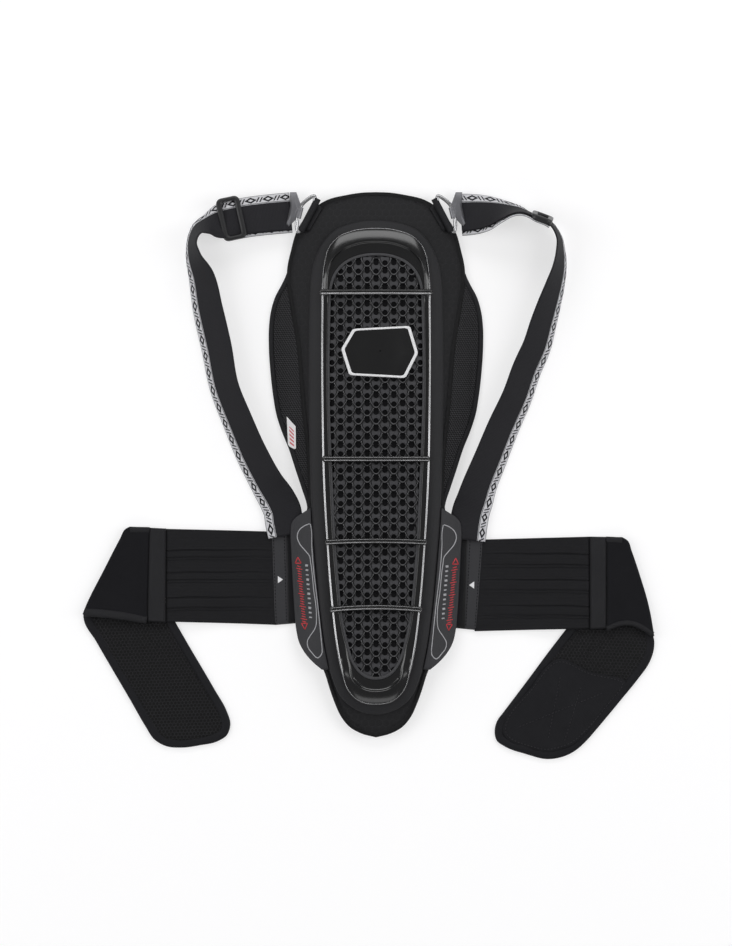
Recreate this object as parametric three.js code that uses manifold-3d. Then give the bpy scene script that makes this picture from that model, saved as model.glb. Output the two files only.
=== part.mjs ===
// Back protector for a motorcycle rider, lying on its body side with the spine shell up.
// Millimetres. X runs across the back, Y runs from waist to neck, Z points away from the body.
// The origin is under the middle of the object, on the surface it lies on.
import * as THREE from 'three';
import { mergeVertices } from 'three/addons/utils/BufferGeometryUtils.js';
import Module from 'manifold-3d';

// Driving dimensions
const gap = 0.3; // running gap between neighbouring pieces
const layerGap = 0.7; // gap between the curved layers of the spine shell
const originShift = { x: 7.5, y: 9 }; // from the spine frame's own centre to the object's middle
const archSpan = 96; // half-width at which the shell's rear surface meets the body plane
const padThickness = 3.5;
const chassisThickness = 9;
const chassisEdgeThickness = 4;
const surroundThickness = 4.2;
const frameThickness = 6.2;
const platePieceThickness = 1.2;
const coreThickness = 3.6;
const latticeThickness = 2.4;
const barWidth = 5.5;
const barThickness = 3.2;
const wingThickness = 3;
const bindingWidth = 4.5;
const panelThickness = 1.8;
const webbingWidth = 38;
const webbingThickness = 1.6;
const beltThickness = 3.9;
const beltEndThickness = 3.4;
const endBindingWidth = 8;
const beltLift = beltEndThickness + 2 * gap; // how far a belt rises where it lies on its folded end
const ringBarRadius = 2;

// Half-widths as [y, half-width], from the neck down
const chassisOutline = [
  [272, 6], [269, 30], [263, 52], [250, 68], [235, 78], [210, 86], [188, 89], [147, 84], [110, 78],
  [60, 74], [18, 70], [-40, 68], [-60, 72], [-150, 70], [-190, 60], [-208, 51], [-237, 42],
  [-253, 34], [-265, 22], [-271, 5],
];
const surroundOutline = [
  [243, 5], [241, 22], [233, 43], [214, 57], [188, 64], [170, 66], [0, 66], [-50, 64], [-100, 60],
  [-150, 55], [-190, 49], [-215, 43], [-234, 31], [-244, 17], [-248, 4],
];
const frameOutline = [
  [236, 5], [233, 26], [226, 40], [216, 48.5], [194, 52], [173, 54], [35, 54], [6, 53.5],
  [-35, 52], [-77, 49.5], [-125, 46], [-144, 43.5], [-187, 38.5], [-205, 34], [-225, 27],
  [-235, 16], [-239, 4],
];
const windowOutline = [
  [211, 6], [208, 24], [200, 38], [188, 45], [170, 48], [40, 48], [6, 46], [-70, 43], [-144, 37],
  [-198, 24], [-210, 14], [-214, 4],
];
const archHeights = [
  [280, 1], [240, 10], [200, 18], [150, 23], [100, 24], [50, 21], [0, 17], [-60, 13], [-120, 12],
  [-180, 13], [-230, 9], [-280, 1],
];
const wingOutline = [
  [176, 98], [165, 103.5], [140, 107], [91, 105], [52, 99.5], [18, 87.5], [-20, 75.5],
];
const panelOutline = [
  [-46, 66], [-53, 76], [-62, 85], [-157, 81], [-171, 79], [-188, 73], [-200, 63], [-206, 54],
];
const crossBars = [
  { y: 170.5, halfLength: 57 },
  { y: 6, halfLength: 53.7 },
  { y: -77, halfLength: 50.6 },
  { y: -144, halfLength: 45.7 },
];

const wasm = await Module();
wasm.setup();

function smooth(t) {
  const s = THREE.MathUtils.clamp(t, 0, 1);
  return s * s * (3 - 2 * s);
}

// Value at y of a line through [y, value] points given from high y to low
function valueAt(points, y) {
  if (y >= points[0][0]) return points[0][1];
  for (let i = 1; i < points.length; i += 1) {
    const [yHigh, high] = points[i - 1];
    const [yLow, low] = points[i];
    if (y >= yLow) return low + ((high - low) * (y - yLow)) / (yHigh - yLow);
  }
  return points[points.length - 1][1];
}

// Rows from the first to the last point of an outline, closer together near its two ends
function rowsOf(points, count) {
  const high = points[0][0];
  const low = points[points.length - 1][0];
  return Array.from({ length: count + 1 }, (_, i) => {
    const t = i / count;
    const eased = 0.5 - 0.5 * Math.cos(Math.PI * t);
    return low + (high - low) * (0.45 * t + 0.55 * eased);
  });
}

// Rear surface of the shell: an arch across the back, as high as the spine curve at that row
function rear(x, y) {
  const height = valueAt(archHeights, y);
  return height * Math.max(0, 1 - (x / archSpan) ** 2);
}

// Top of the foam chassis: full thickness along the spine, thin at every edge
function chassisTop(x, y) {
  const across = 1 - smooth((Math.abs(x) - 52) / 28);
  const along = smooth((275 - y) / 45) * smooth((y + 274) / 45);
  const extra = (chassisThickness - chassisEdgeThickness) * across * along;
  return rear(x, y) + chassisEdgeThickness + extra;
}

function padTop(x, y) {
  const across = 1 - smooth((Math.abs(x) - 45) / 28);
  return rear(x, y) + 1.4 + (padThickness - 1.4) * across;
}

const above = (surface, height) => (x, y) => surface(x, y) + height;
const level = (z) => () => z;

// Closed slab over a grid: plan(u, v) gives x and y, bottom(x, y) and top(x, y) give its two faces
function slab(columns, rows, plan, bottom, top) {
  const positions = [];
  const faces = [];
  const wide = columns + 1;
  const count = wide * (rows + 1);
  for (const surface of [top, bottom]) {
    for (let j = 0; j <= rows; j += 1) {
      for (let i = 0; i <= columns; i += 1) {
        const [x, y] = plan(i / columns, j / rows);
        positions.push(x, y, surface(x, y));
      }
    }
  }
  const quad = (a, b, c, d) => faces.push(a, b, c, a, c, d);
  const at = (i, j) => j * wide + i;
  for (let j = 0; j < rows; j += 1) {
    for (let i = 0; i < columns; i += 1) {
      quad(at(i, j), at(i + 1, j), at(i + 1, j + 1), at(i, j + 1));
      quad(at(i, j) + count, at(i, j + 1) + count, at(i + 1, j + 1) + count, at(i + 1, j) + count);
    }
  }
  const wall = (a, b) => quad(a + count, b + count, b, a);
  for (let i = 0; i < columns; i += 1) {
    wall(at(i, 0), at(i + 1, 0));
    wall(at(i + 1, rows), at(i, rows));
  }
  for (let j = 0; j < rows; j += 1) {
    wall(at(columns, j), at(columns, j + 1));
    wall(at(0, j + 1), at(0, j));
  }
  const [ax, ay] = plan(0, 0);
  const [bx, by] = plan(1, 0);
  const [cx, cy] = plan(0, 1);
  const turnedOver = (bx - ax) * (cy - ay) - (by - ay) * (cx - ax) < 0;
  if (turnedOver) {
    for (let k = 0; k < faces.length; k += 3) [faces[k], faces[k + 1]] = [faces[k + 1], faces[k]];
  }
  const geometry = new THREE.BufferGeometry();
  geometry.setAttribute('position', new THREE.Float32BufferAttribute(positions, 3));
  geometry.setIndex(faces);
  return geometry;
}

// Slab between a left and a right edge, both functions of y
function edgedSlab(columns, rowPositions, left, right, bottom, top) {
  const rows = rowPositions.length - 1;
  const plan = (u, v) => {
    const y = rowPositions[Math.round(v * rows)];
    return [THREE.MathUtils.lerp(left(y), right(y), u), y];
  };
  return slab(columns, rows, plan, bottom, top);
}

// The same outline with every edge moved outwards
function grown(outline, distance) {
  const high = outline[0][0];
  const low = outline[outline.length - 1][0];
  return outline.map(([y, halfWidth]) => {
    const along = (2 * y - high - low) / (high - low);
    return [y + distance * along, halfWidth + distance];
  });
}

function outlineSlab(outline, columns, rows, shrink, bottom, top) {
  const halfWidth = (y) => Math.max(valueAt(outline, y) - shrink, 3);
  return edgedSlab(columns, rowsOf(outline, rows), (y) => -halfWidth(y), halfWidth, bottom, top);
}

// Slab over a four-cornered plan: corners in order round the edge
function cornerSlab(columns, rows, [a, b, c, d], bottom, top) {
  const plan = (u, v) => [0, 1].map((k) => {
    const low = THREE.MathUtils.lerp(a[k], b[k], u);
    const high = THREE.MathUtils.lerp(d[k], c[k], u);
    return THREE.MathUtils.lerp(low, high, v);
  });
  return slab(columns, rows, plan, bottom, top);
}

function solidOf(geometry) {
  const bare = geometry.clone();
  bare.deleteAttribute('normal');
  bare.deleteAttribute('uv');
  const merged = mergeVertices(bare, 1e-4);
  const vertProperties = new Float32Array(merged.attributes.position.array);
  const triVerts = new Uint32Array(merged.index.array);
  return new wasm.Manifold(new wasm.Mesh({ numProp: 3, vertProperties, triVerts }));
}

function geometryOf(solid) {
  const { vertProperties, triVerts } = solid.getMesh();
  const geometry = new THREE.BufferGeometry();
  geometry.setAttribute('position', new THREE.BufferAttribute(new Float32Array(vertProperties), 3));
  geometry.setIndex(new THREE.BufferAttribute(new Uint32Array(triVerts), 1));
  return geometry;
}

const subtract = (whole, cut) => geometryOf(solidOf(whole).subtract(solidOf(cut)));
const join = (...pieces) => geometryOf(pieces.map(solidOf).reduce((sum, next) => sum.add(next)));

// Flat piece cut to an outline of [x, y] corners
function cutPiece(corners, bottom, thickness) {
  const shape = new THREE.Shape(corners.map(([x, y]) => new THREE.Vector2(x, y)));
  const geometry = new THREE.ExtrudeGeometry(shape, { depth: thickness, bevelEnabled: false });
  geometry.translate(0, 0, bottom);
  return geometry;
}

// Corners moved inwards by a distance, each to where its two moved sides cross
function inset(corners, distance) {
  const area = corners.reduce((sum, [x, y], i) => {
    const [nextX, nextY] = corners[(i + 1) % corners.length];
    return sum + x * nextY - nextX * y;
  }, 0);
  const inwards = Math.sign(area);
  return corners.map((corner, i) => {
    const before = corners[(i + corners.length - 1) % corners.length];
    const after = corners[(i + 1) % corners.length];
    const point = new THREE.Vector2(...corner);
    const first = point.clone().sub(new THREE.Vector2(...before)).normalize();
    const second = new THREE.Vector2(...after).sub(point).normalize();
    const firstNormal = new THREE.Vector2(-first.y, first.x).multiplyScalar(inwards);
    const secondNormal = new THREE.Vector2(-second.y, second.x).multiplyScalar(inwards);
    const middle = firstNormal.clone().add(secondNormal).normalize();
    const moved = point.addScaledVector(middle, distance / middle.dot(firstNormal));
    return [moved.x, moved.y];
  });
}

// Webbing ribbon along a route of { x, y, z, roll }: a positive roll lowers its outer edge
function ribbon(route, side, steps, width, thickness, offset = 0) {
  const curve = new THREE.CatmullRomCurve3(
    route.map(({ x, y, z }) => new THREE.Vector3(x, y, z)), false, 'centripetal');
  const up = new THREE.Vector3(0, 0, 1);
  const positions = [];
  const faces = [];
  for (let i = 0; i <= steps; i += 1) {
    const t = i / steps;
    const centre = curve.getPoint(t);
    const tangent = curve.getTangent(t);
    const place = t * (route.length - 1);
    const before = Math.min(Math.floor(place), route.length - 2);
    const degrees = THREE.MathUtils.lerp(route[before].roll, route[before + 1].roll, place - before);
    const roll = THREE.MathUtils.degToRad(degrees);
    const outward = new THREE.Vector3().crossVectors(up, tangent).normalize().multiplyScalar(-side);
    const face = new THREE.Vector3().crossVectors(tangent, outward).multiplyScalar(-side);
    const across = outward.clone().multiplyScalar(Math.cos(roll)).addScaledVector(face, -Math.sin(roll));
    const normal = outward.clone().multiplyScalar(Math.sin(roll)).addScaledVector(face, Math.cos(roll));
    for (const [w, h] of [[-0.5, -0.5], [0.5, -0.5], [0.5, 0.5], [-0.5, 0.5]]) {
      const corner = centre.clone().addScaledVector(across, w * width);
      corner.addScaledVector(normal, h * thickness + offset);
      positions.push(corner.x, corner.y, corner.z);
    }
  }
  for (let i = 0; i < steps; i += 1) {
    for (let k = 0; k < 4; k += 1) {
      const a = 4 * i + k;
      const b = 4 * i + ((k + 1) % 4);
      faces.push(a, b, b + 4, a, b + 4, a + 4);
    }
  }
  const last = 4 * steps;
  faces.push(0, 2, 1, 0, 3, 2, last, last + 1, last + 2, last, last + 2, last + 3);
  if (side > 0) {
    for (let k = 0; k < faces.length; k += 3) [faces[k], faces[k + 1]] = [faces[k + 1], faces[k]];
  }
  const geometry = new THREE.BufferGeometry();
  geometry.setAttribute('position', new THREE.Float32BufferAttribute(positions, 3));
  geometry.setIndex(faces);
  return geometry;
}

// Closed loop of round bar through a list of corners
function barLoop(corners, radius) {
  const path = new THREE.CatmullRomCurve3(corners, true, 'catmullrom', 0.15);
  const section = new THREE.Shape(Array.from({ length: 8 }, (_, k) => {
    const turn = (k * Math.PI) / 4;
    return new THREE.Vector2(radius * Math.cos(turn), radius * Math.sin(turn));
  }));
  return new THREE.ExtrudeGeometry(section, { steps: 24, extrudePath: path, bevelEnabled: false });
}

const finishes = {
  foamCover: { color: 0x151517, roughness: 0.85, metalness: 0 },
  gloss: { color: 0x0a0a0b, roughness: 0.15, metalness: 0 },
  satin: { color: 0x3c3c40, roughness: 0.4, metalness: 0 },
  core: { color: 0x101012, roughness: 0.8, metalness: 0 },
  mesh: { color: 0x1c1c1f, roughness: 0.9, metalness: 0 },
  panel: { color: 0x2a2a2e, roughness: 0.7, metalness: 0 },
  webbing: { color: 0x1b1a1e, roughness: 0.8, metalness: 0 },
  elastic: { color: 0x17171a, roughness: 0.9, metalness: 0 },
  hardware: { color: 0x222226, roughness: 0.35, metalness: 0 },
  metal: { color: 0x55555a, roughness: 0.35, metalness: 1 },
  label: { color: 0xe8e8ea, roughness: 0.6, metalness: 0 },
};

const protector = new THREE.Group();
protector.position.set(originShift.x, originShift.y, 0);

function add(name, geometry, finish) {
  const mesh = new THREE.Mesh(geometry, new THREE.MeshStandardMaterial(finishes[finish]));
  mesh.name = name;
  protector.add(mesh);
}

function addSpineLayers() {
  add('rear_comfort_pad', outlineSlab(chassisOutline, 10, 22, 6, rear, padTop), 'mesh');
  const chassisBottom = above(padTop, layerGap);
  add('foam_chassis', outlineSlab(chassisOutline, 14, 28, 0, chassisBottom, chassisTop), 'foamCover');

  const surroundBottom = above(chassisTop, layerGap);
  const surroundTop = above(surroundBottom, surroundThickness);
  const opening = outlineSlab(grown(windowOutline, 1), 8, 18, 0, level(-5), level(70));
  const surround = outlineSlab(surroundOutline, 10, 24, 0, surroundBottom, surroundTop);
  add('frame_surround', subtract(surround, opening), 'foamCover');

  const frameBottom = above(surroundTop, layerGap);
  const frame = outlineSlab(frameOutline, 10, 24, 0, frameBottom, above(frameBottom, frameThickness));
  add('gloss_frame', subtract(frame, opening), 'gloss');

  const layers = [
    ['inner_plate', platePieceThickness, 'hardware'],
    ['honeycomb_core', coreThickness, 'core'],
    ['hex_lattice', latticeThickness, 'satin'],
  ];
  let bottom = surroundBottom;
  for (const [name, thickness, finish] of layers) {
    const top = above(bottom, thickness);
    add(name, outlineSlab(windowOutline, 8, 18, 0, bottom, top), finish);
    bottom = above(top, gap);
  }

  const badgeWidth = 76;
  const badgeHeight = 36;
  const badgeAt = { x: 4, y: 113 };
  const badgePlan = (u, v) => {
    const across = 2 * u - 1;
    const taper = 1 - 0.45 * Math.max(0, Math.abs(2 * v - 1) - 0.1);
    return [badgeAt.x + (across * taper * badgeWidth) / 2, badgeAt.y + (v - 0.5) * badgeHeight];
  };
  add('front_badge', slab(8, 4, badgePlan, above(bottom, 0), above(bottom, 1.4)), 'label');

  crossBars.forEach(({ y, halfLength }, index) => {
    const barBottom = above(chassisTop, surroundThickness + frameThickness + 3 * layerGap);
    const plan = (u, v) => [(2 * u - 1) * halfLength, y + (v - 0.5) * barWidth];
    const bar = slab(14, 1, plan, barBottom, above(barBottom, barThickness));
    add(`cross_bar_${index + 1}`, bar, 'gloss');
  });
}

// Wing of spacer mesh with a bound edge, and the printed waist panel, on one side
function addSide(name, side) {
  const wingRows = rowsOf(wingOutline, 14);
  const inner = (y) => side * (valueAt(chassisOutline, y) + 0.5);
  const seam = (y) => side * (valueAt(wingOutline, y) - bindingWidth - gap);
  const seamOuter = (y) => side * (valueAt(wingOutline, y) - bindingWidth);
  const outer = (y) => side * valueAt(wingOutline, y);
  const wing = edgedSlab(4, wingRows, inner, seam, rear, above(rear, wingThickness));
  add(`${name}_mesh_wing`, wing, 'mesh');
  const binding = edgedSlab(1, wingRows, seamOuter, outer, rear, above(rear, wingThickness + 0.6));
  add(`${name}_wing_binding`, binding, 'foamCover');

  const panelRows = rowsOf(panelOutline, 14);
  const panelInner = (y) => side * (valueAt(surroundOutline, y) + 1);
  const panelOuter = (y) => side * Math.max(valueAt(panelOutline, y), valueAt(surroundOutline, y) + 3);
  const panelBottom = above(chassisTop, gap);
  const panel = edgedSlab(4, panelRows, panelInner, panelOuter, panelBottom,
    above(panelBottom, panelThickness));
  add(`${name}_waist_panel`, panel, 'panel');

  const patchRows = [-66, -90, -115, -140, -158];
  const patchInner = (y) => side * (valueAt(chassisOutline, y) + 1);
  const patchOuter = (y) => side * (valueAt(panelOutline, y) - 1.5);
  const patch = edgedSlab(1, patchRows, patchInner, patchOuter, above(chassisTop, -1), chassisTop);
  add(`${name}_panel_loop_patch`, patch, 'mesh');
}

// Shoulder ring, its fabric tab and the swing axis that ring and strap share
const swingAxes = {
  left: { top: new THREE.Vector3(-75, 258, 15), bottom: new THREE.Vector3(-93, -40, 7) },
  right: { top: new THREE.Vector3(75, 258, 15), bottom: new THREE.Vector3(94, -40, 7) },
};

function pointOnAxis(axis, y) {
  const t = (y - axis.bottom.y) / (axis.top.y - axis.bottom.y);
  return axis.bottom.clone().lerp(axis.top, t);
}

// Round bar or hole between two points
function roundBar(from, to, radius, sides = 16) {
  const length = from.distanceTo(to);
  const geometry = new THREE.CylinderGeometry(radius, radius, length, sides);
  const direction = to.clone().sub(from).normalize();
  const turn = new THREE.Quaternion().setFromUnitVectors(new THREE.Vector3(0, 1, 0), direction);
  geometry.applyQuaternion(turn);
  const middle = from.clone().lerp(to, 0.5);
  return geometry.translate(middle.x, middle.y, middle.z);
}

function addShoulderRing(name, side) {
  const axis = swingAxes[name];
  const outerTop = pointOnAxis(axis, 261);
  const outerBottom = pointOnAxis(axis, 231);
  const innerTop = new THREE.Vector3(side * 58, 265, 14.5);
  const innerBottom = new THREE.Vector3(side * 68.5, 231, 14.5);
  const ring = join(
    roundBar(pointOnAxis(axis, 263), pointOnAxis(axis, 229), ringBarRadius, 12),
    roundBar(outerTop, innerTop, ringBarRadius, 12),
    roundBar(innerTop, innerBottom, ringBarRadius, 12),
    roundBar(innerBottom, outerBottom, ringBarRadius, 12),
  );
  add(`${name}_shoulder_ring`, ring, 'metal');

  const tabCorners = [
    [side * 50, 248], [side * 57.5, 234], [side * 63, 239], [side * 57.5, 256],
  ];
  const tab = cornerSlab(2, 2, tabCorners, above(chassisTop, gap), above(chassisTop, gap + 1.6));
  add(`${name}_ring_tab`, tab, 'webbing');
}

const strapRoutes = {
  left: [
    { x: -92, y: -56, z: 6.6, roll: 2 },
    { x: -93.5, y: -46, z: 7.4, roll: 6 },
    { x: -98, y: -36, z: 8.8, roll: 13 },
    { x: -108, y: -20, z: 10.6, roll: 26 },
    { x: -124, y: 10, z: 11, roll: 32 },
    { x: -139, y: 45, z: 12.5, roll: 36 },
    { x: -151.5, y: 77, z: 13.4, roll: 38 },
    { x: -161.5, y: 118, z: 13.9, roll: 40 },
    { x: -169, y: 155, z: 14.4, roll: 42 },
    { x: -174.5, y: 188, z: 15, roll: 48 },
    { x: -180, y: 210, z: 16.5, roll: 55 },
    { x: -182, y: 227, z: 18.5, roll: 62 },
    { x: -178, y: 241, z: 19, roll: 60 },
    { x: -168, y: 248, z: 18, roll: 42 },
    { x: -158, y: 250.5, z: 16.8, roll: 24 },
    { x: -149, y: 251.2, z: 16, roll: 12 },
    { x: -129, y: 251.8, z: 15.3, roll: 12 },
    { x: -109, y: 252.4, z: 14.6, roll: 12 },
    { x: -89, y: 253, z: 13.9, roll: 12 },
  ],
  right: [
    { x: 93, y: -56, z: 6.6, roll: 2 },
    { x: 95, y: -46, z: 7.4, roll: 6 },
    { x: 98.5, y: -36, z: 8.8, roll: 13 },
    { x: 103, y: -22, z: 9.8, roll: 22 },
    { x: 114, y: 5, z: 10.5, roll: 28 },
    { x: 127, y: 37, z: 11.5, roll: 32 },
    { x: 141, y: 68, z: 12.5, roll: 36 },
    { x: 151, y: 96, z: 13.4, roll: 38 },
    { x: 161, y: 119, z: 13.9, roll: 40 },
    { x: 167, y: 140, z: 14.6, roll: 44 },
    { x: 173, y: 160, z: 15.6, roll: 50 },
    { x: 179, y: 180, z: 17.2, roll: 58 },
    { x: 183, y: 197, z: 19, roll: 66 },
    { x: 184, y: 213, z: 21, roll: 74 },
    { x: 182, y: 228, z: 23.4, roll: 80 },
    { x: 174, y: 240.5, z: 25.3, roll: 82 },
    { x: 161, y: 246.5, z: 25.3, roll: 82 },
    { x: 148, y: 252.5, z: 25.3, roll: 82 },
    { x: 129, y: 254, z: 20, roll: 60 },
    { x: 109, y: 253, z: 16, roll: 35 },
    { x: 89, y: 252, z: 14, roll: 12 },
  ],
};
const anchorPoints = 3; // how many points of a strap's route belong to its sewn-down lower end

function addStrap(name, side, doubledFrom, sliderAt) {
  const route = strapRoutes[name];
  const anchorRoute = route.slice(0, anchorPoints);
  add(`${name}_strap_anchor`, ribbon(anchorRoute, side, 4, webbingWidth * 0.8, webbingThickness),
    'webbing');
  const first = route[anchorPoints - 1];
  const second = route[anchorPoints];
  const start = { roll: first.roll };
  for (const k of ['x', 'y', 'z']) start[k] = THREE.MathUtils.lerp(first[k], second[k], 0.2);
  const free = [start, ...route.slice(anchorPoints)];
  add(`${name}_strap`, ribbon(free, side, 5 * free.length, webbingWidth, webbingThickness), 'webbing');
  const doubled = route.slice(doubledFrom);
  const under = -(webbingThickness + 0.8);
  add(`${name}_strap_return`,
    ribbon(doubled, side, 5 * doubled.length, webbingWidth, webbingThickness, under), 'webbing');

  const axis = swingAxes[name];
  const sleeve = roundBar(pointOnAxis(axis, 254), pointOnAxis(axis, 239), ringBarRadius + 2.6);
  const bore = roundBar(pointOnAxis(axis, 259), pointOnAxis(axis, 233), ringBarRadius + 0.8);
  const plateCorners = [
    [side * 78, 241], [side * 87, 236], [side * 87, 270], [side * 78, 252],
  ];
  const plate = cornerSlab(1, 1, plateCorners, level(12.2), level(15.2));
  const hook = join(sleeve, plate);
  add(`${name}_strap_hook`, subtract(hook, bore), 'metal');

  const { from, to, roll } = sliderAt;
  const along = [from, to].map(([x, y, z]) => ({ x, y, z, roll }));
  const outside = ribbon(along, side, 1, webbingWidth + 11, 10, under / 2);
  const grow = (a, b) => ({ x: a.x + (a.x - b.x), y: a.y + (a.y - b.y), z: a.z + (a.z - b.z), roll });
  const longer = [grow(along[0], along[1]), grow(along[1], along[0])];
  const inside = ribbon(longer, side, 1, webbingWidth + 3, 6, under / 2);
  add(`${name}_slider`, subtract(outside, inside), 'hardware');
}

// Belt half: tab that sticks behind the waist panel, elastic wing with stays, neoprene and its end
const belts = {
  left: {
    tab: [[-104, -69], [-79, -69], [-77.5, -158], [-101, -160]],
    strip: [[-87.5, -74], [-80.5, -74], [-79.5, -154], [-85.5, -155]],
    elastic: [[-104.6, -67], [-209.7, -64.5], [-209.7, -156.5], [-102, -159.5]],
    band: [[-210, -63.5], [-226, -63], [-228.5, -156], [-210, -157.5]],
    neoprene: [[-226.4, -63], [-249.5, -62], [-293.5, -149], [-229, -156.5]],
    stays: [-89, -112, -138.5],
    end: [
      [-249.5, -61], [-294.5, -150], [-228.5, -265], [-216, -278], [-195, -282], [-159, -276],
      [-146, -265], [-148, -247.5], [-200, -158],
    ],
    edge: [[-251, -62], [-200, -158]],
  },
  right: {
    tab: [[106.8, -74], [81, -74], [79, -163], [99.9, -164.5]],
    strip: [[88.5, -79], [82.5, -79], [80.5, -158], [85.5, -159]],
    elastic: [[107.4, -75], [213.3, -72.5], [213.3, -163.5], [100.5, -166]],
    band: [[213.6, -72], [230, -72], [230, -163], [213.6, -164]],
    neoprene: [[230.3, -72], [249.5, -74.5], [277.5, -172], [230.3, -164]],
    stays: [-96, -121, -147],
    end: [
      [250.3, -74], [278.8, -174.6], [275, -194], [261, -214], [207, -280], [190, -290],
      [170, -294.5], [125, -280], [119, -267], [121, -254], [190, -166],
    ],
    edge: [[252, -79], [190, -166]],
  },
};

// How much a belt rises at a place: nothing near the panel, all of beltLift over its folded end
function liftOver(edge, side) {
  const [top, bottom] = edge;
  const along = new THREE.Vector2(bottom[0] - top[0], bottom[1] - top[1]).normalize();
  const out = new THREE.Vector2(-along.y, along.x).multiplyScalar(side);
  return (x, y) => {
    const distance = (x - top[0]) * out.x + (y - top[1]) * out.y;
    return beltLift * smooth((distance + 42) / 36);
  };
}

function addBelt(name, side) {
  const belt = belts[name];
  add(`${name}_belt_tab`, cornerSlab(2, 2, belt.tab, level(0), level(3)), 'panel');
  add(`${name}_tab_hook_strip`, cornerSlab(1, 2, belt.strip, level(3 + gap), level(4.2)), 'mesh');

  const lift = liftOver(belt.edge, side);
  const raised = (z) => above(lift, z);
  add(`${name}_belt_liner`, cornerSlab(14, 6, belt.elastic, raised(0), raised(0.8)), 'mesh');
  add(`${name}_belt_elastic`,
    cornerSlab(14, 6, belt.elastic, raised(2.7), raised(beltThickness)), 'elastic');
  belt.stays.forEach((y, index) => {
    const near = side * 112;
    const far = side * 202;
    const stay = [[near, y + 4], [far, y + 4], [far, y - 4], [near, y - 4]];
    add(`${name}_belt_stay_${index + 1}`, cornerSlab(12, 2, stay, raised(1.4), raised(2.1)), 'hardware');
  });
  add(`${name}_belt_band`, cornerSlab(2, 8, belt.band, raised(0), raised(beltThickness + 1)), 'elastic');
  add(`${name}_belt_neoprene`,
    cornerSlab(6, 8, belt.neoprene, raised(0), raised(beltThickness)), 'elastic');

  const whole = cutPiece(belt.end, 0, beltEndThickness);
  const hole = cutPiece(inset(belt.end, endBindingWidth), -1, beltEndThickness + 2);
  add(`${name}_belt_end_binding`, subtract(whole, hole), 'elastic');
  const padding = inset(belt.end, endBindingWidth + gap);
  add(`${name}_belt_end`, cutPiece(padding, 0, beltEndThickness - 0.4), 'mesh');
}

function addHookPatch() {
  const outline = [
    [181, -200], [246, -219], [203, -270], [188, -280], [170, -284.5], [133, -273], [130, -262],
  ];
  add('right_end_hook_patch', cutPiece(outline, beltEndThickness + gap, 1.2), 'panel');
}

addSpineLayers();
for (const [name, side] of [['left', -1], ['right', 1]]) {
  addSide(name, side);
  addShoulderRing(name, side);
  addBelt(name, side);
}
addHookPatch();
addStrap('left', -1, 15, { from: [-148.5, 251.2, 16], to: [-134, 251.65, 15.5], roll: 12 });
addStrap('right', 1, 15, { from: [171, 241.9, 25.3], to: [158, 247.9, 25.3], roll: 82 });

const labelPlan = (u, v) => [-80.5 + 8.5 * u - 5.5 * v, 14 + 38 * v];
const labelSurface = above(rear, wingThickness + gap);
add('side_label', slab(1, 4, labelPlan, labelSurface, above(labelSurface, 0.6)), 'label');

export default protector;
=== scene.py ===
import math
import bpy
import bmesh
import numpy as np
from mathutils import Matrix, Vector


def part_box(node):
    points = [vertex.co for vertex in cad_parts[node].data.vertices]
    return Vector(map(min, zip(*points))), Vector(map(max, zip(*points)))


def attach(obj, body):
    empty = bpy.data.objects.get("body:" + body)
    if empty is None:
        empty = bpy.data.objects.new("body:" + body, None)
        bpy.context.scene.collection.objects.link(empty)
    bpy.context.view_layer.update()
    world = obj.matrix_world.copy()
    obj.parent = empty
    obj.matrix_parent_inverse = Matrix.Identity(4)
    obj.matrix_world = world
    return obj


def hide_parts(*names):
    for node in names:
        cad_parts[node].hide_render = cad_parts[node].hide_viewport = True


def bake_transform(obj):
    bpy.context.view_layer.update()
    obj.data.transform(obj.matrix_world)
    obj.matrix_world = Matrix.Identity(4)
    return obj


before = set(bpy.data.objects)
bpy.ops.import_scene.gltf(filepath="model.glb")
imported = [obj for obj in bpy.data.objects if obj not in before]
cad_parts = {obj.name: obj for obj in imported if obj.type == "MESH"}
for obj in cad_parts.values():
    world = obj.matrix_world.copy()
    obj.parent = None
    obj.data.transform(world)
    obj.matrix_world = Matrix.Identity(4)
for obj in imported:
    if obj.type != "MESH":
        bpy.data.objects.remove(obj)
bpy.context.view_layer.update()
print("frame loaded")

# All shapes below are in millimetres from the spine frame's own centre line; shift takes them to the row frame.
mm = 0.001
spineTop = 236  # neck end of the gloss frame
frameLow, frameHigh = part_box("gloss_frame")
shift = np.array([(frameLow.x + frameHigh.x) / 2 / mm, frameHigh.y / mm - spineTop, 0.0])


# ---- curves and surfaces ----

def smoothStep(t):  # 3t^2 - 2t^3 between 0 and 1
    t = np.clip(t, 0, 1)
    return t * t * (3 - 2 * t)


def hermiteCurve(points, spacing=3.0, closed=False, counts=None):
    # Cubic Hermite through the points, tangents weighted by chord length, a sample about every spacing
    p = np.asarray(points, float)
    chord = np.linalg.norm(np.roll(p, -1, 0) - p, axis=1)
    slope = (np.roll(p, -1, 0) - p) / chord[:, None]
    before, chordBefore = np.roll(slope, 1, 0), np.roll(chord, 1)
    tangent = (slope * chordBefore[:, None] + before * chord[:, None]) / (chord + chordBefore)[:, None]
    if not closed:
        tangent[0], tangent[-1] = slope[0], before[-1]
    segments = len(p) if closed else len(p) - 1
    if counts is None:
        counts = [max(2, int(round(c / spacing))) for c in chord[:segments]]
    parts = []
    for i, count in enumerate(counts):
        u = (np.arange(count) / count)[:, None]
        j = (i + 1) % len(p)
        ends = p[i] * (2 * u**3 - 3 * u**2 + 1) + p[j] * (3 * u**2 - 2 * u**3)
        bend = tangent[i] * (u**3 - 2 * u**2 + u) + tangent[j] * (u**3 - u**2)
        parts.append(ends + bend * chord[i])
    if not closed:
        parts.append(p[-1:])
    return np.concatenate(parts), counts


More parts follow.
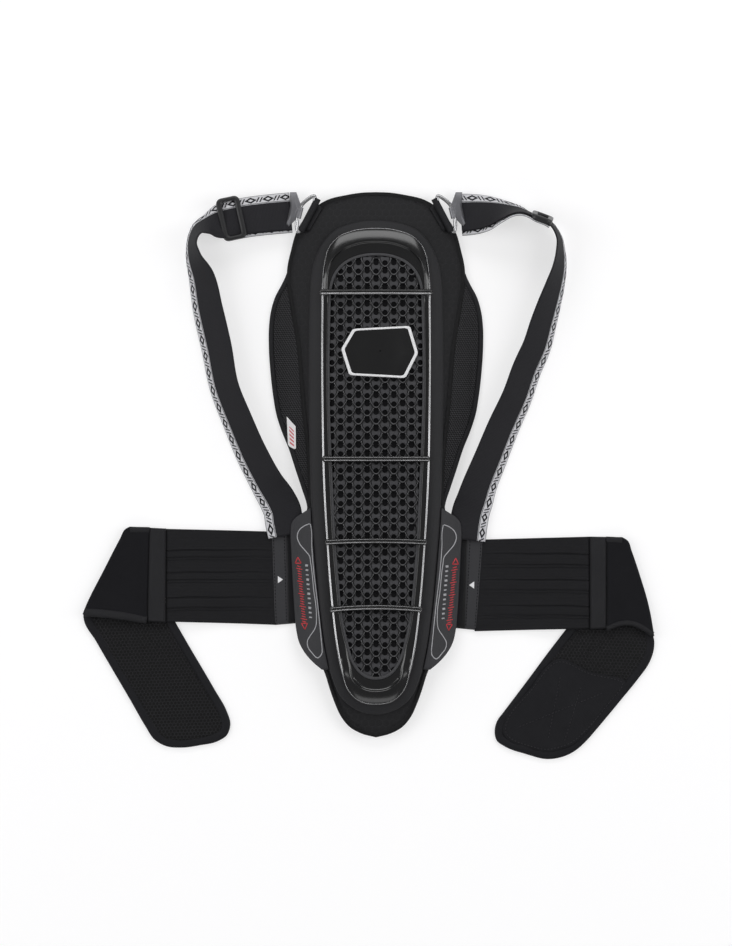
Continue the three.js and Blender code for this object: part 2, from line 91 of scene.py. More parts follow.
def mirrored(half):  # right half-outline from neck pole to waist pole, made a closed outline
    half = np.asarray(half, float)
    left = half[1:-1][::-1] * [-1, 1]
    return np.concatenate([half, left])


def resample(curve, count):  # the same curve at count points, equally far apart
    step = np.linalg.norm(np.diff(curve, axis=0), axis=1)
    along = np.concatenate([[0], np.cumsum(step)])
    at = np.linspace(0, along[-1], count)
    return np.stack([np.interp(at, along, curve[:, k]) for k in range(curve.shape[1])], axis=1)


def gridFaces(rows, columns, closedRows=False, closedColumns=False):
    # The four corners of each cell of a grid of points, as one whole array, wrapped round where it closes
    i = np.arange(rows if closedRows else rows - 1)
    j = np.arange(columns if closedColumns else columns - 1)
    i, j = [a.ravel() for a in np.meshgrid(i, j, indexing="ij")]
    i2, j2 = (i + 1) % rows, (j + 1) % columns
    return np.stack([i * columns + j, i * columns + j2, i2 * columns + j2, i2 * columns + j], axis=1)


def makePiece(name, points, faces, material, uv=None, sharp=None, weld=0.0, outward=False):
    # One mesh object at the origin from points in millimetres and arrays of faces
    faceList = [f for block in (faces if isinstance(faces, list) else [faces]) for f in block.tolist()]
    mesh = bpy.data.meshes.new(name)
    mesh.from_pydata(((np.asarray(points) + shift) * mm).tolist(), [], faceList)
    if uv is not None:
        layer = mesh.uv_layers.new(name="plan")
        corner = np.empty(len(mesh.loops), np.int32)
        mesh.loops.foreach_get("vertex_index", corner)
        layer.data.foreach_set("uv", np.asarray(uv, np.float32)[corner].ravel())
    if weld or outward:
        work = bmesh.new()
        work.from_mesh(mesh)
        if weld:
            bmesh.ops.remove_doubles(work, verts=work.verts, dist=weld * mm)
        bmesh.ops.recalc_face_normals(work, faces=work.faces)
        work.to_mesh(mesh)
        work.free()
    mesh.shade_smooth()
    if sharp is not None:
        mesh.set_sharp_from_angle(angle=math.radians(sharp))
    mesh.materials.append(material)
    piece = bpy.data.objects.new(name, mesh)
    bpy.context.collection.objects.link(piece)
    return piece


def finishPiece(piece, body, slot, *nodes):  # the body it rides on, its colour slot (not used), and the solids it stands for
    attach(piece, body)
    if nodes:
        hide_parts(*nodes)
    return piece


def join(parts):  # (points, faces) pairs as one point array and one list of face arrays
    points, faces, start = [], [], 0
    for p, blocks in parts:
        points.append(p)
        faces += [b + start for b in (blocks if isinstance(blocks, list) else [blocks])]
        start += len(p)
    return np.concatenate(points), faces


def distanceTo(outline, x, y):  # distance in plan from each grid point to the nearest sample of an outline
    flat = np.stack([x.ravel(), y.ravel()], axis=1)
    best = np.full(len(flat), 1e9)
    for block in np.array_split(outline, max(1, len(outline) // 60)):
        gap = np.linalg.norm(flat[:, None] - block[None], axis=2).min(1)
        best = np.minimum(best, gap)
    return best.reshape(x.shape)


def joinedPiece(name, parts, material, outward=True):
    points, faces = join(parts)
    return makePiece(name, points, faces, material, outward=outward)


def roundEdge(distance, radius):  # quarter circle: 0 at the edge, 1 from radius inwards
    t = 1 - np.clip(distance / radius, 0, 1)
    return np.sqrt(np.maximum(0, 1 - t * t))


def pairSlab(left, right, bottom, top, radius, columns=24, spread=0.6):
    # Slab between two edge curves: columns gather at both edges, and the faces meet round the rim on a quarter circle
    u = np.linspace(0, 1, columns + 1)
    u = (1 - spread) * u + spread * (0.5 - 0.5 * np.cos(np.pi * u))
    x = left[:, None, 0] + (right - left)[:, None, 0] * u
    y = left[:, None, 1] + (right - left)[:, None, 1] * u
    ends = [resample(np.stack([left[k], right[k]]), 2 + int(np.linalg.norm(left[k] - right[k]))) for k in (0, -1)]
    sides = [resample(edge, 2 + int(np.linalg.norm(np.diff(edge, axis=0), axis=1).sum())) for edge in (left, right)]
    curve = roundEdge(distanceTo(np.concatenate(sides + ends), x, y), radius)
    curve[0], curve[-1], curve[:, 0], curve[:, -1] = 0, 0, 0, 0  # closed all round
    low, high = bottom(x, y), top(x, y)
    middle = (low + high) / 2
    upper = np.stack([x, y, middle + (high - middle) * curve], axis=2).reshape(-1, 3)
    lower = np.stack([x, y, middle - (middle - low) * curve], axis=2).reshape(-1, 3)
    faces = gridFaces(len(left), columns + 1)
    return np.concatenate([upper, lower]), [faces, faces[:, ::-1] + len(upper)]


def planOf(points):
    return points[:, :2]


def slabPiece(name, edges, low, high, radius, columns, material, spread=0.6, uv=None):
    points, faces = pairSlab(*edges, low, high, radius, columns, spread)
    return makePiece(name, points, faces, material, uv=uv(points) if uv else None, weld=0.02, outward=True)


def sameAllRound(steps):  # one profile of (share across, shift, height) for every place round a ring
    steps = np.array(steps, float)
    return lambda width: np.broadcast_to(steps, (len(width), *steps.shape))


def flatAt(height):  # a level surface
    return lambda x, y: x * 0.0 + height


def wallFaces(count, drop):  # one row of faces round a rim, from each of its points to the point drop places later
    rim = np.arange(count)
    after = (rim + 1) % count
    return np.stack([rim, after, after + drop, rim + drop], axis=1)


def capFaces(rows, size):  # the two ends of a section carried along a path
    return [np.arange(size)[None, ::-1], (np.arange(size) + (rows - 1) * size)[None]]


def ringLoft(outer, inner, profile, base):
    # A profile of (share across, shift in mm, height) carried round between two paired closed outlines
    across = inner - outer
    width = np.linalg.norm(across, axis=1)
    unit = across / width[:, None]
    share, moved, height = [profile(width)[:, :, k] for k in range(3)]
    plan = outer[:, None] + across[:, None] * share[:, :, None] + unit[:, None] * moved[:, :, None]
    z = base(plan[:, :, 0], plan[:, :, 1]) + height
    points = np.concatenate([plan, z[:, :, None]], axis=2)
    rows, columns = z.shape
    return points.reshape(-1, 3), gridFaces(rows, columns, closedRows=True, closedColumns=True)


def insetOutline(outline, distance):  # every point of a closed outline moved inwards along its own normal
    tangent = np.roll(outline, -1, 0) - np.roll(outline, 1, 0)
    tangent /= np.linalg.norm(tangent, axis=1)[:, None]
    normal = np.stack([-tangent[:, 1], tangent[:, 0]], axis=1)
    area = 0.5 * np.sum(outline[:, 0] * np.roll(outline[:, 1], -1) - np.roll(outline[:, 0], -1) * outline[:, 1])
    moved = outline + normal * (distance * np.sign(area))
    for _ in range(6):
        moved = (np.roll(moved, 1, 0) + moved * 2 + np.roll(moved, -1, 0)) / 4
    return moved


def circlePoints(count, radius, start=0.0):  # cosine and sine of equal turns
    turn = start + np.arange(count) * 2 * np.pi / count
    return np.stack([np.cos(turn), np.sin(turn)], axis=1) * radius


def swept(path, up, section, closed=False):
    # A flat section of (across, up) offsets carried along a path; up is the section's own up direction on the way
    path = np.asarray(path, float)
    tangent = np.roll(path, -1, 0) - np.roll(path, 1, 0) if closed else np.gradient(path, axis=0)
    tangent /= np.linalg.norm(tangent, axis=1)[:, None]
    across = np.cross(tangent, np.broadcast_to(up, path.shape))
    across /= np.linalg.norm(across, axis=1)[:, None]
    normal = np.cross(across, tangent)
    section = np.asarray(section, float)
    points = path[:, None] + across[:, None] * section[None, :, :1] + normal[:, None] * section[None, :, 1:]
    size = len(section)
    faces = [gridFaces(len(path), size, closedRows=closed, closedColumns=True)]
    if not closed:
        faces += capFaces(len(path), size)
    return points.reshape(-1, 3), faces


def sweptPiece(name, path, section, material, closed=False):
    points, faces = swept(path, (0, 0, 1), section, closed)
    return makePiece(name, points, faces, material, outward=True)


def ovalSection(wide, high, count=12):  # an ellipse of count points
    return circlePoints(count, 1.0) * [wide / 2, high / 2]


# ---- shader maths ----

class Value:
    # One output socket; operators between values add Math nodes, and named inputs make any other node
    def __init__(self, graph, node, output=0):
        self.graph, self.node, self.socket = graph, node, node.outputs[output]

    def out(self, output):
        return Value(self.graph, self.node, output)

    def math(self, operation, *others):
        return self.graph.add("ShaderNodeMath", {"operation": operation}, dict(enumerate((self,) + others)))

    def __add__(self, other):
        return self.math("ADD", other)

    def __sub__(self, other):
        return self.math("SUBTRACT", other)

    def __mul__(self, other):
        return self.math("MULTIPLY", other)

    def __truediv__(self, other):
        return self.math("DIVIDE", other)

    def __pow__(self, other):
        return self.math("POWER", other)

    def __rsub__(self, other):
        return self.graph.add("ShaderNodeMath", {"operation": "SUBTRACT"}, {0: other, 1: self})

    def __rtruediv__(self, other):
        return self.graph.add("ShaderNodeMath", {"operation": "DIVIDE"}, {0: other, 1: self})

    __radd__ = __add__
    __rmul__ = __mul__

    def __neg__(self):
        return self * -1.0

    def __abs__(self):
        return self.math("ABSOLUTE")

    def __mod__(self, other):
        return self.math("FLOORED_MODULO", other)

    def __gt__(self, other):
        return self.math("GREATER_THAN", other)

    def __lt__(self, other):
        return self.math("LESS_THAN", other)

    def biggest(self, other):
        return self.math("MAXIMUM", other)

    def smallest(self, other):
        return self.math("MINIMUM", other)

    def sine(self):
        return self.math("SINE")

    def step(self, low, high):  # 0 below low, 1 above high, smooth between
        settings = {"interpolation_type": "SMOOTHSTEP"}
        return self.graph.add("ShaderNodeMapRange", settings, {"Value": self, "From Min": low, "From Max": high})


class Graph:
    # The node tree of one material
    def __init__(self, name):
        self.material = bpy.data.materials.new(name)
        self.material.use_nodes = True
        self.tree = self.material.node_tree
        self.shader = self.tree.nodes["Principled BSDF"]

    def add(self, kind, settings=None, inputs=None, output=0):
        node = self.tree.nodes.new(kind)
        for key, value in (settings or {}).items():
            if key == "stops":
                self.setStops(node, value)
            else:
                setattr(node, key, value)
        for key, value in (inputs or {}).items():
            self.feed(node.inputs[key], value)
        return Value(self, node, output)

    def setStops(self, node, stops):
        ramp = node.color_ramp
        while len(ramp.elements) < len(stops):
            ramp.elements.new(0.5)
        for element, (position, colour) in zip(ramp.elements, stops):
            element.position, element.color = position, (*colour, 1)

    def feed(self, socket, value):
        if isinstance(value, Value):
            self.tree.links.new(value.socket, socket)
        else:
            socket.default_value = value

    def place(self):  # x, y and z of the piece's own place, in millimetres
        at = self.add("ShaderNodeTexCoord", output="Object")
        split = self.add("ShaderNodeSeparateXYZ", inputs={0: at})
        return [split.out(k) * 1000.0 for k in range(3)]

    def plan(self):  # the piece's own flat pattern, in millimetres
        at = self.add("ShaderNodeUVMap", {"uv_map": "plan"})
        split = self.add("ShaderNodeSeparateXYZ", inputs={0: at})
        return [split.out(k) for k in range(2)]

    def noise(self, scale, detail=3.0, rough=0.55):
        at = self.add("ShaderNodeTexCoord", output="Object")
        return self.add("ShaderNodeTexNoise", {}, {"Vector": at, "Scale": scale, "Detail": detail,
                                                   "Roughness": rough})

    def mix(self, factor, first, second):
        settings = {"data_type": "RGBA", "blend_type": "MIX"}
        first, second = [(*c, 1) if isinstance(c, tuple) else c for c in (first, second)]
        return self.add("ShaderNodeMix", settings, {0: factor, 6: first, 7: second}, output=2)

    def bump(self, height, distance, strength=1.0):
        return self.add("ShaderNodeBump", {}, {"Height": height, "Distance": distance * mm, "Strength": strength})

    def finish(self, **sockets):
        for name, value in sockets.items():
            if isinstance(value, tuple) and len(value) == 3:
                value = (*value, 1)
            self.feed(self.shader.inputs[name.replace("_", " ")], value)
        return self.material


def hexDistance(x, y, pitch):
    # Distance from the middle of the nearest cell of a hexagon grid, 0 at the middle and 1 at the cell wall
    tall = pitch * math.sqrt(3)
    ax, ay = x % pitch - pitch / 2, y % tall - tall / 2
    bx, by = (x + pitch / 2) % pitch - pitch / 2, (y + tall / 2) % tall - tall / 2
    first = abs(ax).biggest(abs(ax) * 0.5 + abs(ay) * 0.866)
    second = abs(bx).biggest(abs(bx) * 0.5 + abs(by) * 0.866)
    return first.smallest(second) * (2 / pitch)


# ---- finishes ----

def blended(g, look, tone, grain, relief, **more):
    # Colour from the look's dark to its light by tone; grain adds to its roughness, and relief is its raised pattern
    return g.finish(Base_Color=g.mix(tone, look["dark"], look["light"]),
                    Roughness=look["rough"] + grain * look["uneven"], Specular_IOR_Level=look["shine"],
                    Normal=g.bump(relief, look["deep"], look["bite"]), **more)


def coverFabric():
    # u is the distance in from the rim: the rolled edge gets painted shade, darker than the flat of the slab
    look = {"dark": (0.0085, 0.0085, 0.0095), "light": (0.0195, 0.0195, 0.0215), "edge": (0.0045, 0.0045, 0.0052),
            "cell": 7.0, "rimShadeFrom": 2.6, "rimShadeTo": 6.0}
    g = Graph("cover_fabric")
    x, y = g.place()[:2]
    u = g.plan()[0]
    cells = hexDistance(x, y, look["cell"])
    weave = (x * 9.0).sine() * (y * 9.0).sine()
    cloud = g.noise(26.0)
    wall = cells.step(0.80, 0.96)
    centre = 1.0 - cells.step(0.25, 0.75)
    tone = cloud * 0.5 + wall * 0.35 + weave * 0.10
    flatTone = g.mix(tone, look["dark"], look["light"])
    relief = centre * 0.35 - wall * 0.5 + weave * 0.06 + cloud * 0.1
    # Painted shade: the rolled rim takes the darker edge colour, blending into the flat tone further in
    return g.finish(Base_Color=g.mix(u.step(look["rimShadeFrom"], look["rimShadeTo"]), look["edge"], flatTone),
                    Roughness=0.62 + cloud * 0.2, Specular_IOR_Level=0.25, Normal=g.bump(relief, 0.35, 0.8))


def smoothCover():
    look = {"dark": (0.0115, 0.0115, 0.0128), "light": (0.018, 0.018, 0.0205),
            "rough": 0.5, "uneven": 0.25, "shine": 0.28, "deep": 0.05, "bite": 0.7}
    g = Graph("smooth_cover")
    x, y = g.place()[:2]
    cloud, fine = g.noise(18.0), g.noise(900.0, 2.0)
    knit = (x * 7.0).sine() * (y * 7.0 + (x * 3.5).sine()).sine()
    return blended(g, look, cloud * 0.7 + fine * 0.3, fine, knit * 0.4 + fine)


def glossBlack():
    look = {"colour": (0.0035, 0.0035, 0.004)}
    g = Graph("gloss_black")
    swirl, dust = g.noise(60.0, 5.0), g.noise(1400.0, 2.0)
    return g.finish(Base_Color=g.mix(dust.step(0.62, 0.75) * 0.3, look["colour"], (0.02, 0.02, 0.021)),
                    Roughness=0.15 + swirl * 0.09, Specular_IOR_Level=0.55, Coat_Weight=0.4, Coat_Roughness=0.14,
                    Normal=g.bump(swirl, 0.03, 0.25))


def metalAndHighlightFinish():
    # Pale metal: the ring wire's own finish, and a painted highlight on the beads of the black gloss frame and bars;
    # darker swirls are wear on the ring and dimmer stretches of that highlight
    look = {"colour": (0.46, 0.46, 0.47), "wornAndDim": (0.27, 0.27, 0.275)}
    g = Graph("metal_and_painted_highlight")
    swirl = g.noise(9.0, 2.0)
    return g.finish(Base_Color=g.mix(swirl.step(0.35, 0.75), look["colour"], look["wornAndDim"]), Metallic=0.9,
                    Roughness=0.22 + swirl * 0.06, Normal=g.bump(swirl, 0.02, 0.2))


def latticeGrey():
    # The lattice's own grey, lifted above the cell floor's grey as painted highlight on the raised lips of the scales
    look = {"dark": (0.050, 0.050, 0.054), "light": (0.105, 0.105, 0.110),
            "rough": 0.28, "uneven": 0.16, "shine": 0.7, "deep": 0.04, "bite": 0.5}
    g = Graph("lattice_grey")
    cloud, grain = g.noise(45.0), g.noise(1800.0, 2.0)
    return blended(g, look, cloud * 0.6 + grain * 0.4, grain, grain)


def deepBlack():
    look = {"dark": (0.002, 0.002, 0.0025), "light": (0.006, 0.006, 0.007),
            "rough": 0.8, "uneven": 0.1, "shine": 0.12, "deep": 0.1, "bite": 0.5}
    g = Graph("core_black")
    grain = g.noise(700.0)
    return blended(g, look, grain, grain, grain)


def spacerMesh():
    look = {"hole": (0.0035, 0.0035, 0.004), "yarn": (0.028, 0.028, 0.031), "glint": (0.16, 0.16, 0.17), "cell": 2.4}
    g = Graph("spacer_mesh")
    x, y = g.place()[:2]
    cells = hexDistance(x, y, look["cell"])
    yarn = cells.step(0.55, 0.85)
    knot = ((x * 2.62).sine() * (y * 1.51).sine()).step(0.55, 0.95)
    fine = g.noise(1500.0, 2.0)
    base = g.mix(yarn, look["hole"], look["yarn"])
    return g.finish(Base_Color=g.mix(knot * fine * 0.8, base, look["glint"]), Roughness=0.6 + fine * 0.25,
                    Specular_IOR_Level=0.25, Normal=g.bump(yarn + knot * 0.5 + fine * 0.2, 0.5, 0.9))


def airMesh():
    look = {"hole": (0.0012, 0.0012, 0.0018), "yarn": (0.017, 0.017, 0.0195), "cell": 3.6}
    g = Graph("air_mesh")
    u, v = g.plan()
    cells = hexDistance(u, v, look["cell"])
    yarn = cells.step(0.66, 0.95)
    fine, cloud = g.noise(1600.0, 2.0), g.noise(20.0)
    tone = g.mix(yarn * (0.75 + cloud * 0.5), look["hole"], look["yarn"])
    rib = ((u + v * 0.577) * 7.0).sine() * 0.15
    return g.finish(Base_Color=tone, Roughness=0.55 + fine * 0.3, Specular_IOR_Level=0.3,
                    Normal=g.bump(yarn + rib + fine * 0.25, 0.9, 1.0))


def panelLaminate(name="panel_laminate", dark=(0.021, 0.021, 0.024), light=(0.030, 0.030, 0.034)):
    look = {"dark": dark, "light": light, "rough": 0.48, "uneven": 0.2, "shine": 0.35, "deep": 0.05, "bite": 0.8}
    g = Graph(name)
    x, y = g.place()[:2]
    grain, cloud = g.noise(1100.0, 3.0), g.noise(14.0)
    weave = (x * 11.0).sine() * (y * 11.0).sine()
    return blended(g, look, cloud * 0.6 + grain * 0.4, grain, grain + weave * 0.5)


def tabFinish():
    # Black on the shell side, where it runs under the panel, and a greyer sewn strip on the belt side
    look = {"black": (0.005, 0.005, 0.006), "grey": (0.036, 0.036, 0.040), "greyDark": (0.026, 0.026, 0.029)}
    g = Graph("tab_strip")
    u = g.plan()[0]
    grain, cloud = g.noise(1100.0, 3.0), g.noise(30.0)
    grey = g.mix(cloud * 0.6 + grain * 0.4, look["greyDark"], look["grey"])
    return g.finish(Base_Color=g.mix(u.step(0.38, 0.44), look["black"], grey), Roughness=0.5 + grain * 0.2,
                    Specular_IOR_Level=0.3, Normal=g.bump(grain, 0.06, 0.8))


def elasticKnit():
    look = {"dark": (0.0055, 0.0055, 0.0065), "light": (0.0135, 0.0135, 0.0155),
            "rough": 0.7, "uneven": 0.2, "shine": 0.2, "deep": 0.25, "bite": 0.9}
    g = Graph("elastic_knit")
    u, v = g.plan()
    rib = (v * 4.2).sine() * 0.5 + 0.5
    cross = (u * 6.5).sine() * 0.5 + 0.5
    fine, cloud = g.noise(1300.0, 2.0), g.noise(22.0)
    tone = rib * 0.35 + cross * 0.2 + cloud * 0.35 + fine * 0.15
    return blended(g, look, tone, fine, rib * 0.6 + cross * 0.4 + fine * 0.3)


def neopreneKnit():
    look = {"dark": (0.0045, 0.0045, 0.006), "light": (0.0085, 0.0085, 0.0105),
            "rough": 0.75, "uneven": 0.2, "shine": 0.15, "deep": 0.12, "bite": 0.8}
    g = Graph("neoprene_knit")
    u, v = g.plan()
    fine, cloud = g.noise(1700.0, 3.0), g.noise(30.0)
    knit = (u * 5.5 + (v * 5.5).sine() * 0.8).sine()
    return blended(g, look, cloud * 0.6 + fine * 0.4, fine, knit * 0.4 + fine, Sheen_Weight=0.06,
                   Sheen_Roughness=0.5)


def bindingTape():
    look = {"dark": (0.008, 0.008, 0.0095), "light": (0.0185, 0.0185, 0.021),
            "rough": 0.62, "uneven": 0.2, "shine": 0.25, "deep": 0.1, "bite": 0.8}
    g = Graph("binding_tape")
    x, y = g.place()[:2]
    fine, cloud = g.noise(1500.0, 2.0), g.noise(28.0)
    twill = ((x + y) * 5.0).sine() * ((x - y) * 5.0).sine()
    return blended(g, look, cloud * 0.5 + fine * 0.25 + twill * 0.15 + 0.1, fine, twill + fine * 0.5)


def endTapeFinish():
    look = {"dark": (0.0052, 0.0052, 0.0068), "light": (0.0115, 0.0115, 0.0140),
            "rough": 0.6, "uneven": 0.25, "shine": 0.2, "deep": 0.08, "bite": 0.7}
    g = Graph("end_tape")
    x, y = g.place()[:2]
    fine, cloud = g.noise(1500.0, 2.0), g.noise(24.0)
    rib = ((x - y) * 4.0).sine()
    return blended(g, look, cloud * 0.6 + fine * 0.3, fine, rib * 0.6 + fine)


def webbing():
    # u across from the outer edge, v along: a pale jacquard border down the outer edge, ribbed black for the rest
    look = {"black": (0.0085, 0.0085, 0.0105), "light": (0.0175, 0.0170, 0.0205), "pale": (0.62, 0.62, 0.64),
            "ink": (0.010, 0.010, 0.012), "border": 8.8, "motif": 17.0}
    g = Graph("strap_webbing")
    u, v = g.plan()
    fine, cloud = g.noise(1800.0, 2.0), g.noise(24.0)
    rib = (v * 4.4).sine() * 0.5 + 0.5
    warp = (u * 5.6).sine() * 0.5 + 0.5
    middle = look["border"] / 2
    along = v % look["motif"] - look["motif"] / 2
    fromMiddle = abs(u - middle)
    diamond = abs(along) * 0.52 + fromMiddle
    slant = abs((along + (u - middle) * 0.6) % look["motif"] - look["motif"] / 2)
    shape = (diamond < 3.1) * (diamond > 1.35)
    bridge = (fromMiddle < 2.4) * (slant < 2.3) * (slant > 0.9)
    inked = shape.biggest(bridge)
    inBorder = (u > 0.35) * (u < look["border"])
    edgeLine = (abs(u - look["border"] + 0.7) < 0.28)
    pale = inBorder * (1.0 - inked) * (1.0 - edgeLine)
    cloth = g.mix(rib * 0.4 + warp * 0.2 + cloud * 0.3 + fine * 0.1, look["black"], look["light"])
    paleCloth = g.mix(fine * 0.5 + rib * 0.3, look["pale"], (0.50, 0.50, 0.53))
    base = g.mix(pale, g.mix(inked * inBorder, cloth, look["ink"]), paleCloth)
    return g.finish(Base_Color=base, Roughness=0.66 + fine * 0.2, Specular_IOR_Level=0.25,
                    Normal=g.bump(rib * 0.6 + warp * 0.4 + fine * 0.25 + pale * 0.5, 0.18, 0.9))


def hookPile():
    look = {"dark": (0.006, 0.006, 0.0075), "light": (0.0155, 0.0155, 0.018)}
    g = Graph("hook_pile")
    u, v = g.plan()
    fine, cloud = g.noise(2200.0, 3.0), g.noise(40.0)
    dots = ((u * 4.0).sine() * (v * 4.0).sine()).step(-0.2, 0.8)
    return g.finish(Base_Color=g.mix(cloud * 0.4 + fine * 0.3 + dots * 0.3, look["dark"], look["light"]),
                    Roughness=0.8, Specular_IOR_Level=0.2, Normal=g.bump(dots + fine, 0.2, 0.8))


def mouldedBlack():
    look = {"dark": (0.006, 0.006, 0.007), "light": (0.013, 0.013, 0.0145),
            "rough": 0.3, "uneven": 0.2, "shine": 0.5, "deep": 0.04, "bite": 0.6}
    g = Graph("moulded_black")
    grain, cloud = g.noise(1900.0, 2.0), g.noise(50.0)
    return blended(g, look, cloud * 0.5 + grain * 0.5, grain, grain)


def coatedGrey():
    look = {"dark": (0.12, 0.12, 0.13), "light": (0.24, 0.24, 0.255),
            "rough": 0.3, "uneven": 0.15, "shine": 0.5, "deep": 0.03, "bite": 0.5}
    g = Graph("coated_grey")
    grain, cloud = g.noise(1600.0, 2.0), g.noise(60.0)
    return blended(g, look, cloud * 0.6 + grain * 0.4, grain, grain, Metallic=0.6)


def printInk(name, colour, wornAndDim):
    look = {"dark": colour, "light": wornAndDim, "rough": 0.4, "uneven": 0.2, "shine": 0.4, "deep": 0.02, "bite": 0.4}
    g = Graph(name)
    fine = g.noise(1200.0, 3.0)
    return blended(g, look, fine * 0.7, fine, fine)


def sewingThread():
    g = Graph("sewing_thread")
    x, y = g.place()[:2]
    twist = ((x + y) * 9.0).sine() * 0.5 + 0.5
    return g.finish(Base_Color=g.mix(twist, (0.014, 0.014, 0.016), (0.04, 0.04, 0.045)), Roughness=0.6,
                    Specular_IOR_Level=0.3, Normal=g.bump(twist, 0.1, 0.7))


cover, smooth, gloss, satin = coverFabric(), smoothCover(), glossBlack(), latticeGrey()
metalAndHighlight = metalAndHighlightFinish()
black, wingMesh, endMesh, laminate = deepBlack(), spacerMesh(), airMesh(), panelLaminate()
tabStrip = tabFinish()
elastic, neoprene, tape, strapCloth = elasticKnit(), neopreneKnit(), bindingTape(), webbing()
endTape = endTapeFinish()
pile, moulded, coated, thread = hookPile(), mouldedBlack(), coatedGrey(), sewingThread()
silver = printInk("silver_ink", (0.42, 0.42, 0.44), (0.28, 0.28, 0.30))
red = printInk("red_ink", (0.52, 0.035, 0.045), (0.32, 0.02, 0.025))
white = printInk("white_ink", (0.82, 0.82, 0.83), (0.66, 0.66, 0.68))
print("finishes made")


# ---- shape of the shell ----

shell = {"span": 96, "pad": 3.5, "padEdge": 1.4, "chassis": 9, "chassisEdge": 4, "surround": 4.2, "layerGap": 0.7}
archPoints = [(-290, 1), (-230, 9), (-180, 13), (-120, 12), (-60, 13), (0, 17), (50, 21), (100, 24), (150, 23),
              (200, 18), (240, 10), (280, 1)]
archCurve = hermiteCurve(archPoints, 4)[0]


def rear(x, y):  # an arch across the back, as high as the spine curve at that place
    return np.interp(y, archCurve[:, 0], archCurve[:, 1]) * np.maximum(0, 1 - (x / shell["span"]) ** 2)


def chassisTop(x, y):  # rear surface plus the foam, full along the spine and thin at every edge
    across = 1 - smoothStep((np.abs(x) - 52) / 28)
    along = smoothStep((275 - y) / 45) * smoothStep((y + 274) / 45)
    return rear(x, y) + shell["chassisEdge"] + (shell["chassis"] - shell["chassisEdge"]) * across * along


def padTop(x, y):  # rear surface plus the comfort pad, thinner towards both sides
    across = 1 - smoothStep((np.abs(x) - 45) / 28)
    return rear(x, y) + shell["padEdge"] + (shell["pad"] - shell["padEdge"]) * across


def raised(surface, height):  # the same surface, height above it
    return lambda x, y: surface(x, y) + height


surroundBase = raised(chassisTop, shell["layerGap"])
frameBase = raised(chassisTop, 2 * shell["layerGap"] + shell["surround"])

chassisHalf = [(0, 272.5), (14, 272), (30, 269.5), (48, 265), (60, 258), (71, 247), (79, 234), (85, 214), (88.5, 198),
               (89.2, 184), (86, 160), (80, 124), (76.5, 85), (74, 55), (70, 18), (68, -35), (71, -60), (71, -120),
               (67, -165), (58, -192), (51, -208), (46, -224), (41, -238), (35, -251), (27, -261), (15, -268),
               (0, -272)]
surroundHalf = [(0, 243.5), (15, 242.5), (26, 240), (43, 232.5), (55, 218), (61.5, 203), (65, 185), (66, 165),
                (66, 0), (64, -50), (60, -100), (55, -150), (49, -190), (43.5, -213), (33, -234), (18, -245),
                (0, -249)]
frameHalf = [(0, 236.3), (22, 234), (38, 227.5), (47.5, 216.5), (51.8, 200), (53.6, 180), (54, 160), (54, 35),
             (53.5, 6), (52, -35), (49.5, -77), (46, -125), (43.5, -150), (39, -184), (34.5, -206), (27.5, -226),
             (15, -236.5), (0, -239)]
windowHalf = [(0, 211), (19, 208.5), (33, 201.5), (41.5, 192), (46, 181), (47.6, 168), (48, 155), (48, 35),
              (46.8, 6), (45, -35), (43, -77), (39, -125), (36.3, -150), (30, -180), (24.5, -197), (17, -207.5),
              (9, -212.5), (0, -214)]


def halves(half, spacing):  # left and right edge curves from neck to waist
    curve = hermiteCurve(half, spacing)[0]
    return curve * [-1, 1], curve


def makeChassis():
    # Foam slab under its cover: its edge is rolled, and a shallow groove runs round inside the edge
    size = {"edge": 3.2, "columns": 90, "grooveIn": 5.2, "grooveDeep": 1.5, "padIn": 5.5, "padLong": 0.982}
    left, right = halves(chassisHalf, 3.5)
    rim = np.concatenate([left, right])

    def top(x, y):
        groove = np.exp(-((distanceTo(rim, x, y) - size["grooveIn"]) / 1.3) ** 2)
        swell = 0.35 * np.sin(y / 23) * np.sin(x / 17)
        return chassisTop(x, y) + 0.3 + swell * smoothStep((np.abs(x) - 60) / 8) - size["grooveDeep"] * groove

    def fromRim(points):
        return np.stack([distanceTo(rim, points[:, 0], points[:, 1]), points[:, 1]], axis=1)

    piece = slabPiece("foam_chassis_cover", (left, right), raised(padTop, 0.5), top, size["edge"], size["columns"],
                      cover, uv=fromRim)
    finishPiece(piece, "root", "foam_cover", "foam_chassis")

    edges = halves([(max(x - size["padIn"], 0), y * size["padLong"] + 0.2) for x, y in chassisHalf], 4)
    piece = slabPiece("rear_pad", edges, rear, raised(padTop, 0.2), 1.8, 40, padMesh, uv=planOf)
    finishPiece(piece, "root", "spacer_mesh", "rear_comfort_pad")


def pairedOutlines(outerHalf, innerHalf, spacing):  # two closed outlines with as many samples, point for point
    outer, counts = hermiteCurve(mirrored(outerHalf), spacing, closed=True)
    return outer, hermiteCurve(mirrored(innerHalf), spacing, closed=True, counts=counts)[0]


def makeSurround():
    # Smooth raised ring: rolled outside edge, gently crowned, square against the frame
    outer, inner = pairedOutlines(surroundHalf, surroundInner, 3)
    steps = [(0, 0.6, 0), (0, 0, 0.6), (0, 0, 2.0), (0, 0.4, 3.2), (0, 1.2, 4.0), (0, 2.4, 4.5), (0.35, 0, 4.9),
             (0.7, 0, 4.7), (1, -1.6, 4.4), (1, -0.5, 4.0), (1, 0, 3.2), (1, 0, 0.6), (1, -0.6, 0)]
    points, faces = ringLoft(outer, inner, sameAllRound(steps), surroundBase)
    piece = makePiece("surround_cover", points, faces, smooth, outward=True)
    finishPiece(piece, "root", "foam_cover", "frame_surround")


surroundInner = [(0, 213), (20, 210), (35, 202.5), (43, 192), (48, 175), (49, 160), (49, 150), (49, 120), (49, 10),
                 (47, -40), (45, -80), (41, -125), (33, -170), (26, -196), (18, -208), (9, -214), (0, -216)]


